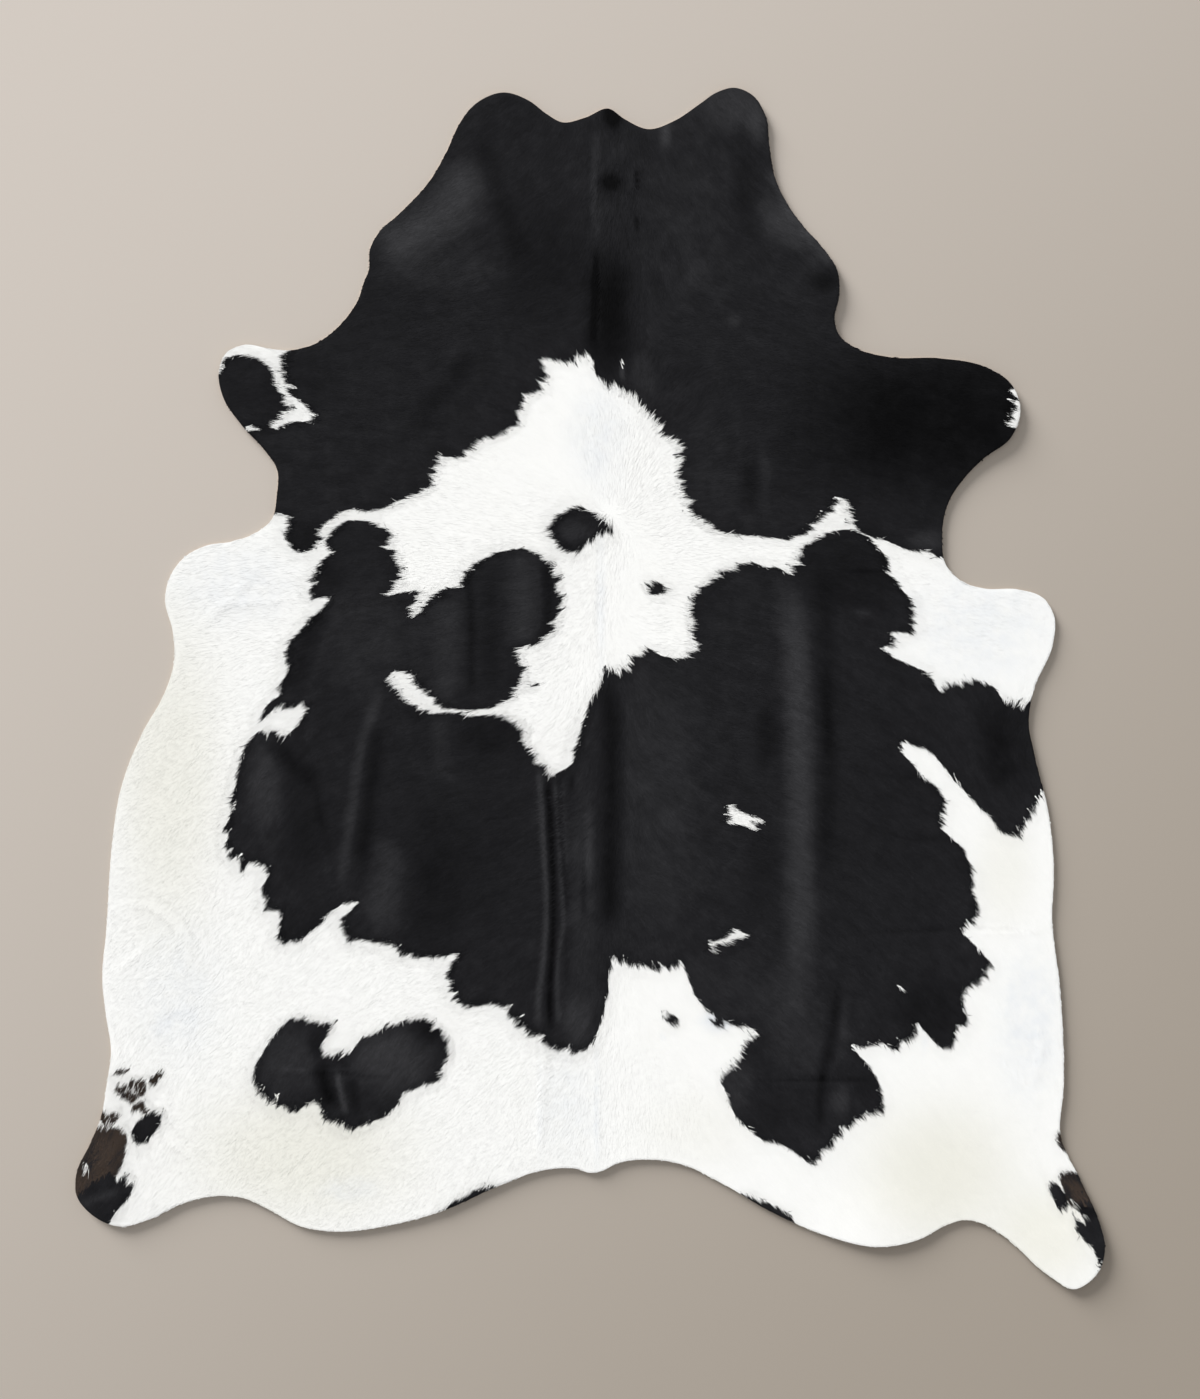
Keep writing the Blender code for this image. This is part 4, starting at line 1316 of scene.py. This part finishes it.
def add_node(tree, kind, inputs, output=0, **settings):
    """Add a node with its settings and its inputs, each a value or the socket that feeds it.

    It gives the output that the next node reads, which is asked for by name or number.
    """
    node = tree.nodes.new(kind)
    for key, value in settings.items():
        setattr(node, key, value)
    for key, value in inputs.items():
        socket = node.inputs[key]
        if isinstance(value, bpy.types.NodeSocket):
            tree.links.new(value, socket)
        else:
            socket.default_value = (*value, 1.0) if socket.type == "RGBA" else value
    return node.outputs[output]


def noise_scale(size):
    """The scale of a noise whose patches are about this size in millimetres."""
    return 0.5 / (size * MM)


def tinted(tree, colour, *tints):
    """The colour with tints laid over it in turn, each as (its share from 0 to 1, its colour)."""
    for share, tint in tints:
        inputs = {"Factor": share, COLOUR_A: colour, COLOUR_B: tint}
        colour = add_node(tree, "ShaderNodeMix", inputs, COLOUR_OUT, data_type="RGBA")
    return colour


def new_material(name, roughness, specular):
    """(material, its node tree, its surface shader), with a name for its real finish."""
    material = bpy.data.materials.new(name)
    material.use_nodes = True
    surface = material.node_tree.nodes["Principled BSDF"]
    surface.inputs["Roughness"].default_value = roughness
    surface.inputs["Specular IOR Level"].default_value = specular
    return material, material.node_tree, surface


def white_colour(tree, settings):
    """White hair: faint clouds, creamy by one wash, and a bluish grey by the other, in spots
    where the coat is thin. Along a few creases that bluish grey is painted shade."""
    place = add_node(tree, "ShaderNodeTexCoord", {}, "Object")
    clouds = add_node(
        tree, "ShaderNodeTexNoise", {"Vector": place, "Scale": noise_scale(35), "Detail": 4.0}
    )
    uneven = add_node(
        tree,
        "ShaderNodeMapRange",
        {"Value": clouds, "From Min": 0.35, "From Max": 0.7, "To Max": 0.2},
    )
    spots = add_node(
        tree, "ShaderNodeTexNoise", {"Vector": place, "Scale": noise_scale(12), "Detail": 4.0}
    )
    thin = add_node(
        tree,
        "ShaderNodeMapRange",
        {"Value": spots, "From Min": 0.3, "From Max": 0.7, "To Min": 0.4, "To Max": 1.4},
    )
    cream = add_node(tree, "ShaderNodeAttribute", {}, "Fac", attribute_name="cream")
    cool_and_crease_shade = add_node(tree, "ShaderNodeAttribute", {}, "Fac", attribute_name="cool_and_crease_shade")
    spotted = add_node(tree, "ShaderNodeMath", {0: cool_and_crease_shade, 1: thin}, operation="MULTIPLY")
    return tinted(
        tree,
        settings.white,
        (uneven, settings.white_shade),
        (cream, settings.cream),
        (spotted, settings.cool_and_crease_shade),
    )


def black_colour(tree, settings):
    """Black hair: deeper and lighter by the sheen, with faint uneven patches. The sheen is mostly
    painted shade in the folds' hollows and painted highlight on their lit slopes, and partly
    the hair's own tones.
    """
    place = add_node(tree, "ShaderNodeTexCoord", {}, "Object")
    clouds = add_node(
        tree, "ShaderNodeTexNoise", {"Vector": place, "Scale": noise_scale(14), "Detail": 6.0}
    )
    uneven = add_node(tree, "ShaderNodeMapRange", {"Value": clouds, "To Min": -0.3, "To Max": 0.3})
    sheen = add_node(tree, "ShaderNodeAttribute", {}, "Fac", attribute_name="sheen")
    shine = add_node(tree, "ShaderNodeMath", {0: sheen, 1: uneven}, operation="ADD")
    # Where the sheen comes from the folds, deep is painted shade and light painted highlight.
    deep = add_node(tree, "ShaderNodeMapRange", {"Value": shine, "From Max": -1.0})
    light = add_node(tree, "ShaderNodeMapRange", {"Value": shine})
    return tinted(
        tree, settings.black, (deep, settings.black_deep_and_shade), (light, settings.black_worn_and_sheen)
    )


def brown_colour(tree, settings):
    """Brown hair: its darker locks are nearly black, and so are all where the sheen is deep."""
    tone = add_node(tree, "ShaderNodeAttribute", {}, "Fac", attribute_name="tone")
    sheen = add_node(tree, "ShaderNodeAttribute", {}, "Fac", attribute_name="sheen")
    depth = add_node(tree, "ShaderNodeMath", {0: tone, 1: sheen}, operation="SUBTRACT")
    dark = add_node(
        tree, "ShaderNodeMapRange", {"Value": depth, "From Min": 0.2, "From Max": 1.1}
    )
    return tinted(tree, settings.brown, (dark, settings.black))


# What colours each coat.
COLOURS = {"white_hair": white_colour, "black_hair": black_colour, "brown_hair": brown_colour}


def hair_material(name, coat, settings):
    """Short hair, combed flat by its own growth: a soft shine without a clear highlight. Each
    lock is a little lighter or darker, and darker at its root, which is painted shade where
    it lies under the others."""
    material, tree, surface = new_material(name, roughness=0.65, specular=coat.specular)
    tone = add_node(tree, "ShaderNodeAttribute", {}, "Fac", attribute_name="tone")
    by_lock = add_node(
        tree,
        "ShaderNodeMapRange",
        {"Value": tone, "To Min": 1 - coat.light / 2, "To Max": 1 + coat.light / 2},
    )
    along = add_node(tree, "ShaderNodeAttribute", {}, "Fac", attribute_name="along")
    # A lock darkens towards its root: painted shade under the locks that lie over it.
    root_shade = add_node(
        tree, "ShaderNodeMapRange", {"Value": along, "From Max": 0.5, "To Min": 1 - coat.light}
    )
    light = add_node(tree, "ShaderNodeMath", {0: by_lock, 1: root_shade}, operation="MULTIPLY")
    colour = COLOURS[name](tree, settings)
    shaded = add_node(tree, "ShaderNodeVectorMath", {0: colour, "Scale": light}, operation="SCALE")
    tree.links.new(shaded, surface.inputs["Base Color"])
    return material


def bed_material(settings):
    """The bed of the coat: close short hair, which has no shine since it is seen end on. It is
    white, black and brown by patch, with frayed borders. Its grain is drawn coarser than a
    real hair, so that it shows."""
    material, tree, surface = new_material("close_hair", roughness=0.75, specular=0.04)
    place = add_node(tree, "ShaderNodeTexCoord", {}, "Object")
    grain = add_node(
        tree, "ShaderNodeTexNoise", {"Vector": place, "Scale": noise_scale(1.8), "Detail": 3.0}
    )
    fray = add_node(tree, "ShaderNodeMapRange", {"Value": grain, "To Min": -0.25, "To Max": 0.25})
    share = {}
    for patch in ("black", "brown"):
        soft_patch = add_node(tree, "ShaderNodeAttribute", {}, "Fac", attribute_name=patch)
        frayed = add_node(tree, "ShaderNodeMath", {0: soft_patch, 1: fray}, operation="ADD")
        share[patch] = add_node(
            tree, "ShaderNodeMapRange", {"Value": frayed, "From Min": 0.46, "From Max": 0.54}
        )
    white = white_colour(tree, settings)
    black = black_colour(tree, settings)
    colour = tinted(tree, white, (share["brown"], settings.brown), (share["black"], black))
    tree.links.new(colour, surface.inputs["Base Color"])
    tips = add_node(
        tree, "ShaderNodeTexNoise", {"Vector": place, "Scale": noise_scale(1.2), "Detail": 3.0}
    )
    bump = add_node(tree, "ShaderNodeBump", {"Height": tips, "Strength": 0.5, "Distance": 0.0006})
    tree.links.new(bump, surface.inputs["Normal"])
    return material


def leather_material(settings, name, tone):
    """Suede: the flesh side, buffed to a nap that takes the shine off, with soft clouds of
    colour. Its fibres and pores are drawn coarser than real ones, so that they show."""
    material, tree, surface = new_material(name, roughness=0.92, specular=0.2)
    surface.inputs["Sheen Weight"].default_value = 0.15
    place = add_node(tree, "ShaderNodeTexCoord", {}, "Object")
    noises = []
    for size, detail in ((90, 5.0), (3, 5.0), (1.5, 4.0), (12, 3.0)):
        inputs = {"Vector": place, "Scale": noise_scale(size), "Detail": detail}
        noises.append(add_node(tree, "ShaderNodeTexNoise", inputs))
    clouds, fibres, pores, dents = noises
    cloudy = add_node(
        tree, "ShaderNodeMapRange", {"Value": clouds, "From Min": 0.3, "From Max": 0.7}
    )
    nap = add_node(
        tree,
        "ShaderNodeMapRange",
        {"Value": fibres, "From Min": 0.3, "From Max": 0.75, "To Max": 0.4},
    )
    colour = tinted(tree, settings.leather, (cloudy, tone), (nap, settings.leather_shade))
    tree.links.new(colour, surface.inputs["Base Color"])
    height = add_node(tree, "ShaderNodeMath", {0: pores, 1: dents}, operation="ADD")
    bump = add_node(
        tree, "ShaderNodeBump", {"Height": height, "Strength": 0.6, "Distance": 0.0005}
    )
    tree.links.new(bump, surface.inputs["Normal"])
    return material


def floor_material(settings):
    """A plain pale floor without shine, with painted shade: a little darker away from the light."""
    material, tree, surface = new_material("pale_floor", roughness=0.9, specular=0.1)
    place = add_node(tree, "ShaderNodeTexCoord", {}, "Object")
    away = add_node(
        tree,
        "ShaderNodeVectorMath",
        {0: place, 1: FLOOR_SHADE},
        "Value",
        operation="DOT_PRODUCT",
    )
    shade = add_node(
        tree,
        "ShaderNodeMapRange",
        {"Value": away, "From Min": -1.0},
        interpolation_type="SMOOTHSTEP",
    )
    colour = tinted(tree, settings.floor_painted_light, (shade, settings.floor_painted_shade))
    tree.links.new(colour, surface.inputs["Base Color"])
    return material


# --- Settings, operators and their panel ---


def length_property(name, description, default):
    """A length in metres."""
    return bpy.props.FloatProperty(name=name, description=description, default=default, unit="LENGTH")


def colour_property(name, description, hex_colour):
    """A colour, from its sRGB hex value."""
    return bpy.props.FloatVectorProperty(
        name=name, description=description, default=linear(hex_colour), subtype="COLOR", size=3
    )


class RugSettings(bpy.types.PropertyGroup):
    """Sizes and colours of the hide and its coat."""

    thickness: length_property("Leather", "Thickness of the leather", 0.003)
    pile: length_property("Pile", "Height of the coat's close hair over the leather", 0.0065)
    lock_length: length_property("Lock length", "Length of a lock of hair", 0.0175)
    lock_width: length_property("Lock width", "Width of a lock of hair", 0.0023)
    lock_spacing: length_property("Lock spacing", "Distance between places for a lock", 0.0033)
    white: colour_property("White", "White hair", "#ECECEA")
    white_shade: colour_property("White shade", "White hair in its darker patches", "#E9E9E5")
    cream: colour_property("Cream", "White hair where it is creamy", "#E0DFD6")
    # Cool is also painted shade along a few creases of the white.
    cool_and_crease_shade: colour_property("Cool", "White hair where the skin shows through", "#DDE0E3")
    black: colour_property("Black", "Black hair", "#1C1C1E")
    # Deep black is also painted shade in the folds' hollows, and light black also painted highlight on
    # their slopes that face the lamp, besides short, worn hair.
    black_deep_and_shade: colour_property("Deep black", "Black hair at its darkest", "#070708")
    black_worn_and_sheen: colour_property("Light black", "Black hair where it is short and worn", "#353537")
    brown: colour_property("Brown", "Brown hair on the hind legs", "#40362F")
    leather: colour_property("Leather colour", "The flesh side", "#C7AE92")
    leather_dark: colour_property("Leather clouds", "The flesh side's darker clouds", "#B39A7E")
    edge_leather: colour_property("Edge", "The cut edge of the leather", "#D6CDBF")
    leather_shade: colour_property("Leather shade", "Between the fibres of the leather", "#96806A")


class StageSettings(bpy.types.PropertyGroup):
    """The studio: its camera, light and floor."""

    camera_height: length_property("Camera height", "Height of the camera over the floor", 3.415)
    camera_x: length_property("Camera x", "The camera's place to the right", 0.0175)
    camera_y: length_property("Camera y", "The camera's place to the head end", -0.01925)
    lens: bpy.props.FloatProperty(
        name="Lens", description="Focal length of the camera", default=50.0, unit="CAMERA"
    )
    sun_height: bpy.props.FloatProperty(
        name="Sun height",
        description="Angle of the lamp over the floor",
        default=np.radians(18),
        subtype="ANGLE",
    )
    sun_size: bpy.props.FloatProperty(
        name="Sun size",
        description="How wide the lamp looks, which softens the shadows",
        default=np.radians(28),
        subtype="ANGLE",
    )
    sun_strength: bpy.props.FloatProperty(name="Sun", description="The lamp's strength", default=6.0)
    room_strength: bpy.props.FloatProperty(
        name="Room", description="The strength of the even light all round", default=0.60
    )
    # The floor's two colours are painted light near the lamp and painted shade away from it.
    floor_painted_light: colour_property("Floor near the light", "The floor at the upper left", "#C5BDB5")
    floor_painted_shade: colour_property("Floor far away", "The floor at the lower right", "#92897E")


def sizes_of(settings):
    """The lengths of the rug's settings in millimetres."""
    return Sizes(*(getattr(settings, key) / MM for key in Sizes._fields))


class RUG_OT_make_hide(bpy.types.Operator):
    """Make the hide: the leather sheet and the bed of its coat"""

    bl_idname = "rug.make_hide"
    bl_label = "Make hide"

    def execute(self, context):
        settings = context.scene.rug_settings
        mesh = hide_mesh(fields_of_hide(), sizes_of(settings))
        materials = [
            bed_material(settings),
            leather_material(settings, "suede_leather", settings.leather_dark),
            leather_material(settings, "cut_leather", settings.edge_leather),
        ]
        hide = add_object("hide_sheet", mesh, materials)
        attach(hide, "root")
        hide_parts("hide")
        return {"FINISHED"}


class RUG_OT_make_hair(bpy.types.Operator):
    """Make the coat: locks of white, black and brown hair"""

    bl_idname = "rug.make_hair"
    bl_label = "Make hair"

    def execute(self, context):
        settings = context.scene.rug_settings
        sizes = sizes_of(settings)
        fields = fields_of_hide()
        dice = np.random.default_rng(SEED)
        locks = locks_grown(fields, dice, sizes, by_border=False)
        locks = locks.with_others(locks_grown(fields, dice, sizes, by_border=True))
        for name, grown in locks_by_colour(fields, dice, locks).items():
            coat = COATS[name]
            material = hair_material(name, coat, settings)
            from_head = np.argsort(-grown.root[:, 1])
            for part, numbers in zip(coat.pieces, np.array_split(from_head, len(coat.pieces))):
                chosen = grown.chosen(numbers)
                mesh = lock_mesh(f"{name}_{part}", coat, chosen, fields, dice, sizes)
                piece = add_object(mesh.name, mesh, [material])
                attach(piece, "root")
        return {"FINISHED"}


class RUG_OT_make_stage(bpy.types.Operator):
    """Make the studio: floor, lights and the camera straight above"""

    bl_idname = "rug.make_stage"
    bl_label = "Make stage"

    def execute(self, context):
        settings = context.scene.rug_stage
        scene = context.scene
        mesh = bpy.data.meshes.new("floor")
        corners = [(-FLOOR, -FLOOR, 0), (FLOOR, -FLOOR, 0), (FLOOR, FLOOR, 0), (-FLOOR, FLOOR, 0)]
        mesh.from_pydata(corners, [], [(0, 1, 2, 3)])
        floor = add_object("floor", mesh, [floor_material(settings)])
        floor.location.z = -FLOOR_GAP
        sun = bpy.data.lights.new("window", "SUN")
        sun.energy = settings.sun_strength
        sun.angle = settings.sun_size
        lamp = bpy.data.objects.new("window", sun)
        flat = np.cos(settings.sun_height)
        ahead = np.radians(SUN_WAY)
        beam = Vector((flat * np.cos(ahead), flat * np.sin(ahead), -np.sin(settings.sun_height)))
        lamp.rotation_euler = beam.to_track_quat("-Z", "Y").to_euler()
        scene.collection.objects.link(lamp)
        world = bpy.data.worlds.new("studio")
        world.use_nodes = True
        background = world.node_tree.nodes["Background"]
        background.inputs["Color"].default_value = (1.0, 1.0, 1.0, 1.0)
        background.inputs["Strength"].default_value = settings.room_strength
        scene.world = world
        scene.view_settings.view_transform = "Standard"
        camera = bpy.data.objects.new("camera", bpy.data.cameras.new("camera"))
        camera.data.lens = settings.lens
        camera.location = (settings.camera_x, settings.camera_y, settings.camera_height)
        scene.collection.objects.link(camera)
        scene.camera = camera
        return {"FINISHED"}


class RUG_PT_panel(bpy.types.Panel):
    """Buttons and settings for the rug"""

    bl_label = "Cowhide rug"
    bl_space_type = "VIEW_3D"
    bl_region_type = "UI"
    bl_category = "Rug"

    def draw(self, context):
        for operator in ("rug.make_hide", "rug.make_hair", "rug.make_stage"):
            self.layout.operator(operator)
        for group in (context.scene.rug_settings, context.scene.rug_stage):
            for key in group.bl_rna.properties.keys():
                if key not in ("rna_type", "name"):
                    self.layout.prop(group, key)


CLASSES = (
    RugSettings,
    StageSettings,
    RUG_OT_make_hide,
    RUG_OT_make_hair,
    RUG_OT_make_stage,
    RUG_PT_panel,
)


def register():
    for each in CLASSES:
        bpy.utils.register_class(each)
    bpy.types.Scene.rug_settings = bpy.props.PointerProperty(type=RugSettings)
    bpy.types.Scene.rug_stage = bpy.props.PointerProperty(type=StageSettings)


def unregister():
    del bpy.types.Scene.rug_stage
    del bpy.types.Scene.rug_settings
    for each in reversed(CLASSES):
        bpy.utils.unregister_class(each)


def main():
    """Make the rug and its stage."""
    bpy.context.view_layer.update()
    register()
    bpy.ops.rug.make_hide()
    bpy.ops.rug.make_hair()
    bpy.ops.rug.make_stage()


if __name__ == "__main__":
    main()
